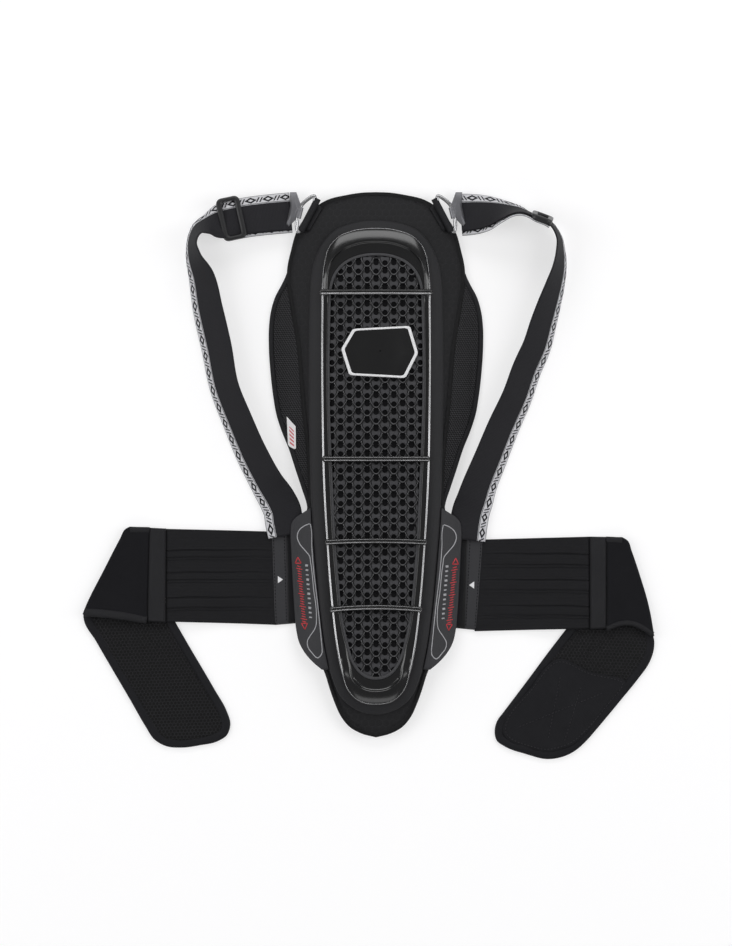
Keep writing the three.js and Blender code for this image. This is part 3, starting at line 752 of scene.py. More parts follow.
def makeFrame():
    # Narrow along the sides: bright rim, channel, inner border. Wide at both ends: broad bevel, crease and band.
    size = {"narrowAt": 9, "wideOver": 11, "beadIn": 1.15, "beadWide": 1.9, "beadHigh": 1.6, "beadFade": 0.75}
    narrow = np.array([(0, 0.4, 0), (0, 0, 0.5), (0, 0, 4.6), (0, 0.1, 5.1), (0, 0.35, 5.5), (0, 2.0, 5.5),
                       (0, 2.2, 5.0), (0, 2.25, 4.4), (0, 2.4, 4.05), (0.5, 0, 3.9), (0.6, 0, 3.72),
                       (0.8, 0, 3.4), (1, -0.9, 3.32), (1, -0.7, 3.28), (1, -0.4, 3.2), (1, -0.15, 3.14),
                       (1, 0, 3.0), (1, 0, 0.4), (1, -0.4, 0)])
    wide = np.array([(0, 0.4, 0), (0, 0, 0.5), (0, 0, 2.2), (0, 0.3, 2.9), (0, 1.0, 3.6), (0, 1.9, 4.1),
                     (0.1, 1.6, 4.75), (0.22, 0.9, 5.35), (0.36, 0.4, 5.85), (0.47, 0, 6.1), (0.52, 0, 6.15),
                     (0.55, 0, 5.85), (0.585, 0, 4.9), (0.62, 0, 3.7), (0.72, 0, 3.2), (1, -1.6, 3.0),
                     (1, 0, 2.9), (1, 0, 0.4), (1, -0.4, 0)])
    outer, inner = pairedOutlines(frameHalf, windowHalf, 2.2)

    def profile(width):
        amount = smoothStep((width - size["narrowAt"]) / size["wideOver"])[:, None, None]
        return narrow * (1 - amount) + wide * amount

    points, faces = ringLoft(outer, inner, profile, frameBase)
    piece = makePiece("frame_moulding", points, faces, gloss, outward=True, sharp=50)
    finishPiece(piece, "root", "gloss_black", "gloss_frame")

    # Bead on the crest of the rim, thinning away round both ends: pale metal as painted highlight along the black
    # gloss crest
    width = np.linalg.norm(inner - outer, axis=1)[:, None]
    thin = 1 - size["beadFade"] * smoothStep((width - size["narrowAt"]) / 9)
    path = outer + (inner - outer) / width * size["beadIn"]
    z = frameBase(path[:, 0], path[:, 1])[:, None] + 5.5 * thin + 3.5 * (1 - thin)
    section = ovalSection(size["beadWide"], size["beadHigh"], 14)
    tangent = np.roll(path, -1, 0) - np.roll(path, 1, 0)
    tangent /= np.linalg.norm(tangent, axis=1)[:, None]
    across = np.stack([tangent[:, 1], -tangent[:, 0]], axis=1)
    plan = path[:, None] + across[:, None] * section[None, :, :1] * thin[:, None]
    points = np.concatenate([plan, (z + section[None, :, 1] * thin)[:, :, None]], axis=2).reshape(-1, 3)
    faces = gridFaces(len(path), len(section), closedRows=True, closedColumns=True)
    piece = makePiece("frame_highlight_bead", points, faces, metalAndHighlight, outward=True)
    finishPiece(piece, "root", "gloss_black")


lattice = {"acrossPitch": 8.8, "alongPitch": 16.5, "holeRadius": 2.55, "columns": 5, "first": 48.2, "border": 2.8}


def windowHalfWidth(y):  # half the window's width at each place along the spine, -1 past its ends
    half = hermiteCurve(windowHalf, 4)[0]
    return np.interp(y, half[::-1, 1], half[::-1, 0], left=-1, right=-1)


def clampToWindow(plan, margin):  # points outside the window brought to margin inside its edge
    plan[:, 1] = np.clip(plan[:, 1], windowHalf[-1][1] + margin + 0.5, windowHalf[0][1] - margin - 0.5)
    limit = np.maximum(windowHalfWidth(plan[:, 1]) - margin, 0)
    plan[:, 0] = np.clip(plan[:, 0], -limit, limit)
    return plan


def cellCentres(rowStep, margin, stagger):
    # Centres on a grid of columns, odd columns half a cell further along when staggered
    column, row = np.meshgrid(np.arange(-lattice["columns"], lattice["columns"] + 1), np.arange(-40, 40))
    x = (column * lattice["acrossPitch"]).ravel()
    y = (row * rowStep + (0.5 * rowStep * (column % 2) if stagger else 0)).ravel() + lattice["first"]
    keep = np.abs(x) < windowHalfWidth(y) - margin
    return np.stack([x[keep], y[keep]], axis=1)


def repeated(shape, height, centres, margin, base, closed=True):
    # One ring stack copied to every centre, clamped to the window and laid on the base surface
    rings, size = shape.shape[:2]
    plan = shape.reshape(1, -1, 2) + centres[:, None]
    local = np.tile(shape.reshape(-1, 2), (len(centres), 1))
    plan = clampToWindow(plan.reshape(-1, 2), margin)
    z = base(plan[:, 0], plan[:, 1]) + np.tile(height.ravel(), len(centres))
    faces = gridFaces(rings, size, closedColumns=closed)
    faces = (faces[None] + (np.arange(len(centres)) * rings * size)[:, None, None]).reshape(-1, 4)
    return np.concatenate([plan, z[:, None]], axis=1), faces, local


def makeLattice():
    # Two layers of one cell repeated on a grid, each cut off at the window's edge, over a core and a backing plate
    base = raised(frameBase, 1.4)
    # Floor: one cell to each hole; the hole of a tile's lower half is level, its upper half sinks away
    half = lattice["acrossPitch"] / 2, lattice["alongPitch"] / 4
    corner = circlePoints(20, 1.0, np.pi / 20)
    square = corner / np.abs(corner).max(1)[:, None] * half
    rim = corner * lattice["holeRadius"]
    shape = np.stack([square, square * 0.5 + rim * 0.5, rim * 1.06, rim, rim * 0.96])
    parts, local = [], []
    for offset in (-half[1], half[1]):
        centres = cellCentres(lattice["alongPitch"], -4.5, True) + [0, offset]
        y = shape[:, :, 1] + offset
        drop = np.repeat([0.0, 0.0, -0.1, -0.45, -2.2], 20).reshape(5, 20)
        height = drop - 1.5 * smoothStep((y - 1.0) / 6.5) + 0.25 * smoothStep((2 - y) / 6)
        points, faces, own = repeated(shape, height, centres, lattice["border"] - 0.4, base)
        parts.append((points, faces))
        local.append(own + [0, offset])
    points, faces = join(parts)
    piece = makePiece("lattice_floor", points, faces, floorGrey, uv=np.concatenate(local), sharp=40)
    finishPiece(piece, "root", "lattice_grey", "hex_lattice")

    # Scales: a raised lip round each long six-sided cell, high round its lower half and fading at its top
    hexagon = [(1.75, 8.25), (7.05, 0), (1.75, -8.25), (-1.75, -8.25), (-7.05, 0), (-1.75, 8.25)]
    outline = resample(np.array(hexagon + hexagon[:1], float), 37)[:-1]
    rounded = outline.copy()
    for _ in range(3):
        rounded = (np.roll(rounded, 1, 0) + rounded * 2 + np.roll(rounded, -1, 0)) / 4
    low = smoothStep((2.5 - outline[:, 1]) / 7)
    shape = np.stack([outline] + [rounded * grow for grow in (0.99, 0.955, 0.915, 0.87, 0.84)])
    level = np.stack([0.0 * low - 0.4, 0.75 * low - 0.2, 1.25 * low, 1.2 * low, 0.55 * low - 0.1, -0.6 + 0 * low])
    level = level - 1.5 * smoothStep((shape[:, :, 1] - 1.0) / 6.5)
    centres = cellCentres(lattice["alongPitch"], 0.5, True)
    points, faces, own = repeated(shape, level, centres, lattice["border"] - 0.2, base)
    piece = makePiece("lattice_scales", points, faces, satin, uv=own, sharp=60)
    finishPiece(piece, "root", "lattice_grey")

    # Flat border strip round the window
    outer = hermiteCurve(mirrored(windowHalf), 3, closed=True)[0]
    inner = insetOutline(outer, lattice["border"])
    steps = [(0, 0.2, -1.4), (0, 0.2, 1.0), (0, 0.6, 1.25), (0.5, 0, 1.35), (1, -0.5, 1.25), (1, 0, 0.9),
             (1, 0, -1.4)]
    points, faces = ringLoft(outer, inner, sameAllRound(steps), base)
    piece = makePiece("lattice_border", points, faces, borderGrey, outward=True)
    finishPiece(piece, "root", "lattice_grey")

    edges = halves(windowHalf, 6)
    inside = [("core_block", "honeycomb_core", 1.5, 5.1), ("backing_plate", "inner_plate", 0, 1.2)]
    for name, node, low, high in inside:
        piece = slabPiece(name, edges, raised(surroundBase, low), raised(surroundBase, high), 0.5, 12, black)
        finishPiece(piece, "root", "core_black", node)


def floorFinish():
    # Grey in the middle of each cell, falling to near black in its sunk top and along its edges
    look = {"grey": (0.042, 0.042, 0.046), "shade": (0.0045, 0.0045, 0.0055)}
    g = Graph("lattice_floor")
    u, v = g.plan()
    top = v.step(0.5, 4.5)
    side = (abs(u) * 0.35 + abs(v) * 0.26).step(1.55, 2.2)
    grain, cloud = g.noise(1800.0, 2.0), g.noise(40.0)
    shade = top.biggest(side)
    return g.finish(Base_Color=g.mix(shade * (0.85 + cloud * 0.2), look["grey"], look["shade"]),
                    Roughness=0.42 + grain * 0.2, Specular_IOR_Level=0.3, Normal=g.bump(grain, 0.05, 0.5))


floorGrey = floorFinish()
borderGrey = panelLaminate("lattice_border", (0.036, 0.036, 0.039), (0.052, 0.052, 0.056))


def makeCrossBar(index, y, halfLength, arch, faint, heavy):
    # A double-ridged bar swept across the frame, bowed towards the neck, swelling into a knuckle at each end
    size = {"half": 2.75, "high": 2.6, "knuckleAt": 1.6, "rounding": 1.8, "stand": 6.25}
    s = np.linspace(-1, 1, 61)
    s = s * (1 + 0.25 * np.abs(s)) / 1.25
    fromEnd = (1 - np.abs(s)) * halfLength
    swell = np.exp(-((fromEnd - size["knuckleAt"]) / 2.0) ** 2)
    close = roundEdge(fromEnd, size["rounding"])
    section = np.array([(-1, 0), (-1.02, 0.4), (-0.93, 0.62), (-0.72, 0.83), (-0.5, 0.95), (-0.34, 0.9), (-0.2, 0.62),
                        (0, 0.55), (0.2, 0.62), (0.34, 0.9), (0.5, 0.95), (0.72, 0.83), (0.93, 0.62), (1.02, 0.4),
                        (1, 0), (0.5, -0.15), (-0.5, -0.15)])
    x = s * halfLength
    centre = y + arch * (1 - s**2)
    plan = section[None, :, 0] * (size["half"] * (1 + 0.15 * swell) * close)[:, None] + centre[:, None]
    overRim = smoothStep((8 - fromEnd) / 6)
    lift = section[None, :, 1] * (size["high"] * (1 + 0.12 * swell) * np.maximum(close, 0.05))[:, None]
    base = frameBase(x, centre) + size["stand"] - 1.1 * (1 - overRim) - 1.4 * np.exp(-(fromEnd / 1.5) ** 2)
    points = np.stack([np.broadcast_to(x[:, None], plan.shape), plan, base[:, None] + lift], axis=2)
    faces = gridFaces(len(s), len(section), closedColumns=True)
    ends = [np.arange(len(section))[None], (np.arange(len(section)) + (len(s) - 1) * len(section))[None]]
    piece = makePiece(f"bar_moulding_{index}", points.reshape(-1, 3), [faces] + ends, gloss, outward=True)
    finishPiece(piece, "root", "gloss_black", f"cross_bar_{index}")
    # Bead along each ridge, the one nearer the waist heavier: pale metal as painted highlight on the black gloss bar
    for label, offset, thick in (("upper", 1.55, faint), ("lower", -1.45, heavy)):
        if not thick:
            continue
        path = np.stack([x, centre + offset, base + size["high"] * 0.93 * np.maximum(close, 0.3)], axis=1)[1:-1]
        piece = sweptPiece(f"bar_highlight_bead_{label}_{index}", path, ovalSection(thick, thick, 10), metalAndHighlight)
        finishPiece(piece, "root", "gloss_black")


def makeBadge():
    # A plain six-sided badge: pale rim, sunk black middle, standing on the lattice
    size = {"x": 4, "y": 113, "stand": 3.4,
            "corners": [(-38.7, 2), (-27, 22), (29.7, 25), (37.8, -2), (25.2, -27), (-30.6, -24)]}
    corners = np.array(size["corners"])
    sides = zip(corners, np.roll(corners, -1, 0))
    outer = hermiteCurve([a * (1 - t) + b * t for a, b in sides for t in (0.06, 0.1, 0.5, 0.9, 0.94)], 2.5,
                         closed=True)[0]
    rings = [(1.0, 0), (1.0, 1.2), (0.985, 1.6), (0.955, 1.8), (0.93, 1.75), (0.915, 1.45)]
    inner = [(0.9, 1.35), (0.6, 1.35), (0.3, 1.35), (0.02, 1.35)]
    shapes = []
    for some in (rings, rings[-1:] + inner):
        plan = np.stack([outer * f for f, _ in some]) + [size["x"], size["y"]]
        z = frameBase(plan[:, :, 0], plan[:, :, 1]) + size["stand"] + np.array([h for _, h in some])[:, None]
        points = np.concatenate([plan, z[:, :, None]], axis=2).reshape(-1, 3)
        shapes.append((points, gridFaces(len(some), len(outer), closedColumns=True)))
    piece = makePiece("badge_rim", *shapes[0], white, outward=True)
    finishPiece(piece, "root", "label_white", "front_badge")
    piece = makePiece("badge_face", *shapes[1], gloss, outward=True)
    finishPiece(piece, "root", "gloss_black")


def rearMesh():
    look = {"dark": (0.003, 0.003, 0.0035), "light": (0.02, 0.02, 0.023), "cell": 5.0, "rough": 0.65, "uneven": 0.2,
            "shine": 0.25, "deep": 0.8, "bite": 0.9}
    g = Graph("rear_mesh")
    x, y = g.place()[:2]
    cells = hexDistance(x, y, look["cell"])
    yarn, fine = cells.step(0.5, 0.8), g.noise(1500.0, 2.0)
    return blended(g, look, yarn, fine, yarn + fine * 0.3)


padMesh = rearMesh()
makeChassis()
makeSurround()
makeFrame()
makeLattice()
bars = [(171.6, 57, 0, 0, 1.9), (6, 54.2, 0, 0.5, 0.9), (-77, 51.6, 1.6, 0.5, 1.1), (-144, 46.7, 2.6, 0.5, 1.1)]
for index, bar in enumerate(bars):
    makeCrossBar(index + 1, *bar)
makeBadge()
print("spine shell made")

# ---- belts, panels and wings ----


def line(a, b, count):  # count points from a to b
    return np.array(a, float) + (np.array(b, float) - np.array(a, float)) * np.linspace(0, 1, count)[:, None]


def stitchRow(path, pitch=3.4, share=0.62, wide=0.75, high=0.5):
    # Short rounded stitches along a path, each a low dome of two rings
    path = np.asarray(path, float)
    length = np.linalg.norm(np.diff(path, axis=0), axis=1).sum()
    marks = resample(path, max(2, int(length / pitch)) * 2 + 1)
    start, end = marks[0:-1:2], marks[2::2]
    along = (end - start) / 2 * share
    half = np.linalg.norm(along, axis=1)[:, None]
    unit = along / half
    across = np.stack([-unit[:, 1], unit[:, 0], np.zeros(len(unit))], axis=1)
    turn = circlePoints(8, 1.0)
    parts = []
    for grow, level in ((1.0, -0.2), (0.85, 0.25), (0.3, high)):
        ring = (start + along)[:, None] + along[:, None] * (turn[None, :, :1] * grow)
        ring = ring + across[:, None] * (turn[None, :, 1:] * grow * wide / 2)
        parts.append(ring + [0, 0, level])
    count = len(start)
    points = np.stack(parts, axis=1).reshape(-1, 3)
    faces = gridFaces(3, 8, closedColumns=True)
    faces = (faces[None] + (np.arange(count) * 24)[:, None, None]).reshape(-1, 4)
    caps = np.arange(16, 24)[None] + (np.arange(count) * 24)[:, None]
    return points, [faces, caps]


def plate(outline, low, high, bevel=0.6):
    # Closed plan outline made a plate with a chamfered rim; low and high are heights at each outline point
    outline = np.asarray(outline, float)
    centre = outline.mean(0)
    rings = [(1.0, 0.0), (1.0, 1.0), (1 - bevel / np.abs(outline - centre).max(), 2.0)]
    count = len(outline)
    points = []
    for grow, level in rings:
        z = low + (high - bevel - low) * min(level, 1.0) + (bevel if level > 1 else 0)
        ring = centre + (outline - centre) * grow
        points.append(np.concatenate([ring, np.broadcast_to(z, count)[:, None]], axis=1))
    return np.concatenate(points), [gridFaces(3, count, closedColumns=True)] + capFaces(3, count)


def draped(plan, surface, height):  # plan points put on a surface, height above it
    plan = np.asarray(plan, float)
    return np.concatenate([plan, (surface(plan[:, 0], plan[:, 1]) + height)[:, None]], axis=1)


sides = {
    "left": {
        "sign": -1, "arrowAt": (-95.5, -114.5),
        "tabInner": [(-79, -68.5), (-77.5, -158)], "tabOuter": [(-104.4, -69), (-101.3, -160)],
        "elasticTop": [(-102.4, -66.5), (-150, -65.2), (-209.7, -63.8)],
        "elasticLow": [(-99.6, -159.8), (-150, -158), (-209.7, -156.5)],
        "channels": [-86, -93, -108, -115.5, -133, -143.5],
        "bandTop": [(-209.5, -63.5), (-226.4, -62.6)], "bandLow": [(-209.8, -157.5), (-228.6, -156.2)],
        "foldEdge": [(-246, -61.5), (-250.5, -64), (-256, -74), (-272, -105), (-290, -141), (-293.2, -149)],
        "foldInner": [(-226.2, -62.4), (-226.6, -85), (-227, -105), (-227.6, -125), (-228.4, -150), (-228.8, -156.8)],
        "end": [(-249.5, -65), (-252, -69), (-259, -83), (-270.5, -105), (-282, -127), (-289, -141),
                (-292.6, -149), (-292, -155), (-280, -176), (-262, -207), (-245, -236), (-230, -262), (-222, -274),
                (-210, -281), (-194, -282.5), (-175, -280), (-159, -276.5), (-149, -270), (-145.5, -259),
                (-149, -246.5), (-161, -225), (-175, -201), (-188, -179), (-200, -158), (-213, -134), (-225, -110),
                (-237, -86), (-246, -69)],
        "edge": [(-251, -62), (-200, -158)],
        "patch": None, "knitBow": 1.2, "stripWide": 8.2,
        "route": [(-89.2, -70, 6.3, 1), (-92, -56, 6.6, 2), (-93.5, -46, 7.4, 6), (-98, -36, 8.8, 13),
                  (-108, -20, 10.6, 26), (-124, 10, 11, 32), (-139, 45, 12.5, 36), (-151.5, 77, 13.4, 38),
                  (-159.6, 118, 13.9, 35),
                  (-168, 155, 14.4, 36), (-174.5, 188, 15.4, 46), (-182.6, 210, 18.3, 66), (-184, 222, 19.2, 73),
                  (-177, 236.5, 19, 66), (-168.5, 240, 18.6, 54), (-160.5, 241.6, 18, 32), (-148, 244.5, 16.8, 10),
                  (-127, 248.6, 15.4, 9), (-107, 251, 14.4, 6), (-85, 252.9, 13.3, 1)],
        "sliderAt": (-144, 245.4, 16.4), "sliderHalf": (12, 21.8), "returnDrop": 2.2,
    },
    "right": {
        "sign": 1, "arrowAt": (95.5, -120),
        "tabInner": [(81, -73.5), (79, -163)], "tabOuter": [(107.2, -73.5), (100.2, -165)],
        "elasticTop": [(105, -74.5), (160, -73), (213.4, -71.6)],
        "elasticLow": [(98.4, -166.2), (160, -164.6), (213.4, -163)],
        "channels": [-89.5, -100.5, -115.5, -126, -141.5, -151],
        "bandTop": [(213.2, -71.5), (230.2, -71.8)], "bandLow": [(213.5, -164.2), (230.2, -163.2)],
        "foldEdge": [(246, -72), (251.5, -75.5), (255.5, -86), (263, -108), (270, -132), (275, -153), (278, -171)],
        "foldInner": [(230, -71.8), (230.1, -90), (230.1, -105), (230.2, -120), (230.2, -140), (230.2, -155),
                      (230.2, -164)],
        "end": [(249.8, -79), (252.5, -86), (257, -102), (264, -126), (271, -150), (276, -167),
                (278.2, -176), (277.8, -184), (274, -196), (261, -215), (248, -231), (234, -248), (221, -263.5),
                (210, -276), (200, -285), (190, -290.5), (172, -294), (150, -289), (128, -281), (121, -276),
                (118.6, -265), (121, -256), (127.5, -247), (140, -230.5), (155, -210.5), (172, -187.5), (190, -164),
                (207, -141), (222, -121), (236, -101), (246, -85)],
        "edge": [(252, -79), (190, -166)],
        "knitBow": 9, "stripWide": 5.4,
        "patch": [(178, -195), (215, -207), (250, -217.5), (234, -240), (208, -270), (196, -280), (186, -283.5),
                  (171, -287), (150, -282), (132, -275), (126.5, -268), (128, -257), (154, -223), (175, -197)],
        "patchRows": [((184, -212), (172, -274)), ((226, -228), (142, -262)), ((205, -222), (188, -277))],
        "route": [(90.6, -74.5, 6.3, 1), (93, -56, 6.6, 2), (95, -46, 7.4, 6), (98.5, -36, 8.8, 13),
                  (103, -22, 9.8, 22),
                  (114, 5, 10.5, 28), (127, 37, 11.5, 32), (141, 68, 12.5, 36), (151, 96, 13.4, 38),
                  (161, 119, 13.9, 40), (167, 140, 14.6, 44), (173, 160, 15.6, 50), (179, 180, 17.2, 58),
                  (183, 197, 19, 66), (184, 213, 21, 74), (182, 228, 23.4, 80), (174, 240.5, 25.3, 82),
                  (161, 246.5, 25.3, 82), (148, 252.5, 25.3, 82), (129, 254, 20, 60), (109, 253, 15.6, 30),
                  (84.5, 251.5, 13.3, 1)],
        "sliderAt": (164.5, 245, 25.3), "sliderHalf": (11, 23), "returnDrop": 3.8,
    },
}


def liftFor(side):
    # How far the belt stands above its folded end: nothing well inside the edge line, full height past it
    size = {"height": 4.0, "before": 42, "rise": 36}
    a, b = np.array(side["edge"], float)
    d = (b - a) / np.linalg.norm(b - a)
    normal = np.array([-d[1], d[0]])
    normal = normal * np.sign(normal[0]) * side["sign"]

    def lift(x, y):
        beyond = (x - a[0]) * normal[0] + (y - a[1]) * normal[1]
        return size["height"] * smoothStep((beyond + size["before"]) / size["rise"])

    return lift


belt = {"groove": 0.9, "lip": 0.95, "crown": 0.5, "columns": 190, "wide": 94, "ribSlack": 1.02,
        "elasticLow": 2.3, "elasticHigh": 3.7, "bandLow": 0.2, "bandHigh": 4.9, "knitLow": 0.1, "knitHigh": 3.9,
        "tapeAt": 2.9, "bindingHigh": 4.6, "hemWide": 6.0, "hemHigh": 3.4, "rollOut": 2.8, "rollUp": 3.1,
        "rollAt": 4.05, "rollReach": 3.6}


def makeElastic(name, side, lift):
    # Three stitched channels run along it: a narrow bell dip for each seam, a bell ridge for its puckered lip
    top, low = [resample(hermiteCurve(side[k], 2)[0], 56) for k in ("elasticTop", "elasticLow")]

    def elasticTop(x, y):
        run = np.abs(x)
        bow = 1.1 * np.sin((run - 100) / 36) + 0.5 * np.sin(run / 9)
        h = np.zeros_like(x)
        fade = 0.45 + 0.55 * smoothStep((run - 108) / 60)
        for k, seam in enumerate(side["channels"]):
            d = y - seam - bow * 0.6
            lipSide = 1 if k % 2 == 0 else -1
            h = h - belt["groove"] * np.exp(-(d / 0.75) ** 2) * fade
            h = h + belt["lip"] * np.exp(-((d - 1.4 * lipSide) / 0.9) ** 2) * fade
            h = h + 0.13 * np.sin(run * 1.5 + k * 2.1) * np.exp(-(d / 2.6) ** 2) * fade
        for a, b in zip(side["channels"][::2], side["channels"][1::2]):
            h = h + belt["crown"] * np.exp(-((y - (a + b) / 2) / (abs(a - b) / 2)) ** 4)
        ends = smoothStep((run - np.abs(top[0, 0]) + 1) / 5)
        return lift(x, y) + belt["elasticHigh"] + h * ends + 0.25 * np.sin(run / 13 + y / 31)

    piece = slabPiece(f"{name}_elastic_panel", (top, low), raised(lift, belt["elasticLow"]), elasticTop, 1.1,
                      belt["columns"], elastic, 0.2, planOf)
    finishPiece(piece, f"{name}_belt", "belt_fabric", f"{name}_belt_elastic")
    reach = abs(side["elasticTop"][-1][0] - side["elasticTop"][0][0]) * mm
    reach * belt["ribSlack"]


def makeBand(name, side, lift):
    # Band over the join between elastic and knit, with two shallow sine ripples
    top, low = [resample(np.array(side[k], float), 12) for k in ("bandTop", "bandLow")]

    def bandTop(x, y):
        ripple = 0.3 * np.sin(y / 8.5) * np.sin((np.abs(x) - 209) / 5.4) + 0.2 * np.sin(y / 19)
        return lift(x, y) + belt["bandHigh"] + ripple

    piece = slabPiece(f"{name}_band_strip", (top, low), raised(lift, belt["bandLow"]), bandTop, 1.2, 70, tape, 0.2)
    finishPiece(piece, f"{name}_belt", "belt_fabric", f"{name}_belt_band")


def makeKnit(name, side, lift):
    # Plain knit that folds under at its outer edge: a sine swell, its low edge bowed out by half a sine wave
    body = f"{name}_belt"
    inner, outer = [resample(hermiteCurve(side[k], 2)[0], 60) for k in ("foldInner", "foldEdge")]
    lowY, highY = inner[:, 1].min(), inner[:, 1].max()

    def knitTop(x, y):
        near = smoothStep((y - lowY) / 22)
        swell = 0.5 * np.sin((np.abs(x) - 226) / 11) * np.sin((y - lowY) / 24)
        return lift(x, y) + belt["knitHigh"] + swell + (1 - near) * 0.9

    points, faces = pairSlab(inner, outer, raised(lift, belt["knitLow"]), knitTop, 2.2, 40, 0.4)
    bowed = smoothStep((highY - 40 - points[:, 1]) / (highY - lowY - 40))
    across = np.clip((np.abs(points[:, 0]) - 229) / 47, 0, 1)
    points[:, 1] += side["knitBow"] * np.sin(across * np.pi) * bowed
    knit = makePiece(f"{name}_knit_panel", points, faces, neoprene, uv=points[:, :2], weld=0.02, outward=True)
    finishPiece(knit, body, "belt_fabric", f"{name}_belt_neoprene")

    # Tapes: a heavier one under the low edge, following its bow, and a slim one along the top edge
    across = np.linspace(0, 0.965, 24)
    path = line(side["foldInner"][-1], side["foldEdge"][-1], 2)
    path = path[0] + (path[1] - path[0]) * across[:, None]
    path[:, 1] += side["knitBow"] * np.sin(across * np.pi) + side["stripWide"] / 2 - 2
    path = draped(path, lift, belt["tapeAt"])
    path[:, 2] += 1.0 * np.sin(across * np.pi)
    section = ovalSection(side["stripWide"], belt["bindingHigh"], 20)
    binding = finishPiece(sweptPiece(f"{name}_knit_binding", path, section, tape), body, "belt_fabric")
    path = line(np.array(side["foldInner"][0]) + [0, -2.6], np.array(side["foldEdge"][0]) + [0, -3.2], 16)
    path, section = draped(path, lift, belt["tapeAt"]), ovalSection(belt["hemWide"], belt["hemHigh"], 20)
    hem = finishPiece(sweptPiece(f"{name}_knit_hem", path, section, tape), body, "belt_fabric")


def makeFoldRoll(name, side):
    # The fold itself: half an oval tube from the upper layer down to the lower one
    path = resample(hermiteCurve(side["foldEdge"][1:], 3)[0], 44)[4:]
    turn = np.linspace(-np.pi / 2, np.pi / 2, 12)
    outerRing = np.stack([np.cos(turn) * belt["rollOut"], np.sin(turn) * belt["rollUp"]], axis=1)
    innerRing = np.stack([np.cos(turn[::-1]) * 0.4, np.sin(turn[::-1]) * 1.2], axis=1)
    section = np.concatenate([outerRing, innerRing]) * [side["sign"], 1] + [-2.9 * side["sign"], 0]
    path = np.concatenate([path, np.full((len(path), 1), belt["rollAt"])], axis=1)
    points, faces = swept(path, (0, 0, 1), section * [-1, 1])
    piece = makePiece(f"{name}_fold_roll", points, faces, neoprene, uv=points[:, 1:], outward=True)
    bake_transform(piece)


def disc(outline, shares, surface):
    # Rings of a closed outline shrinking to its middle, closed by one point there
    centre = outline.mean(0)
    plan = np.concatenate([(centre + (outline - centre) * s) for s in shares] + [centre[None]])
    points = np.concatenate([plan, surface(plan[:, 0], plan[:, 1])[:, None]], axis=1)
    count = len(outline)
    last = (len(shares) - 1) * count
    fan = np.stack([last + np.arange(count), last + (np.arange(count) + 1) % count,
                    np.full(count, len(points) - 1)], axis=1)
    return points, [gridFaces(len(shares), count, closedColumns=True), fan]


def makeBeltEnd(name, side):
    # Air mesh laid flat under the belt: rings of its outline shrinking to the middle, and a taped border round it
    body = f"{name}_belt_end"
    outer = hermiteCurve(side["end"], 3, closed=True)[0]
    size = {"tape": 8.2, "faceFrom": 7.2, "under": 0.3, "weaveTurn": 62, "patchSeam": 2.4, "patchFoot": 2.6}
    inner = insetOutline(outer, size["tape"])
    steps = [(0, 0.5, 0.1), (0, 0, 0.8), (0, 0, 2.2), (0, 0.5, 3.0), (0, 1.4, 3.5), (0.35, 0, 3.9), (0.75, 0, 3.75),
             (1, -0.9, 3.5), (1, -0.2, 3.2), (1, 0, 2.6), (1, 0, 0.1)]
    points, faces = ringLoft(outer, inner, sameAllRound(steps), flatAt(0))  # it lies where the object lies
    run = np.repeat(np.arange(len(outer)), len(steps))
    points[:, 2] += 0.12 * np.sin(run * 0.9) * (points[:, 2] > 3)
    border = makePiece(f"{name}_end_tape", points, faces, endTape, outward=True)
    finishPiece(border, body, "belt_fabric", f"{name}_belt_end_binding")

    face = insetOutline(outer, size["faceFrom"])
    shares = np.linspace(1, 0.05, 26)

    def faceTop(x, y):
        return 3.05 + 0.35 * np.sin(x / 21 + y / 33) + 0.25 * np.sin(y / 17 - x / 40)

    upper, upperFaces = disc(face, shares, faceTop)
    lower, lowerFaces = disc(face, shares, flatAt(size["under"]))
    points, faces = join([(upper, upperFaces), (lower, [f[:, ::-1] for f in lowerFaces])])
    wall = wallFaces(len(face), len(upper))
    turn = math.radians(size["weaveTurn"]) * side["sign"]
    u = points[:, 0] * math.cos(turn) - points[:, 1] * math.sin(turn)
    v = points[:, 0] * math.sin(turn) + points[:, 1] * math.cos(turn)
    piece = makePiece(f"{name}_end_mesh", points, faces + [wall], endMesh, uv=np.stack([u, v], axis=1), outward=True)
    finishPiece(piece, body, "spacer_mesh", f"{name}_belt_end")

    if side["patch"]:
        # Hook patch sewn over the lower part: a rim of stitches and a stitched cross
        patch = hermiteCurve(side["patch"], 3, closed=True)[0]
        top = lambda x, y: faceTop(x, y) + 1.15 + 0.25 * np.sin(x / 13) * np.sin(y / 15)
        upper, upperFaces = disc(patch, shares, top)
        skirt = np.concatenate([patch, np.full((len(patch), 1), size["patchFoot"])], axis=1)
        wall = wallFaces(len(patch), len(upper))
        points, faces = join([(upper, upperFaces), (skirt, [])])
        piece = makePiece(f"{name}_patch_pile", points, faces + [wall], pile, uv=points[:, :2], outward=True)
        finishPiece(piece, body, "hook_and_loop", f"{name}_end_hook_patch")
        seam = insetOutline(patch, size["patchSeam"])
        rows = [stitchRow(draped(np.concatenate([seam, seam[:1]]), top, 0.1))]
        for a, b in side["patchRows"]:
            rows.append(stitchRow(draped(line(a, b, 20), top, 0.1)))
        finishPiece(joinedPiece(f"{name}_patch_thread", rows, thread, False), body, "hook_and_loop")


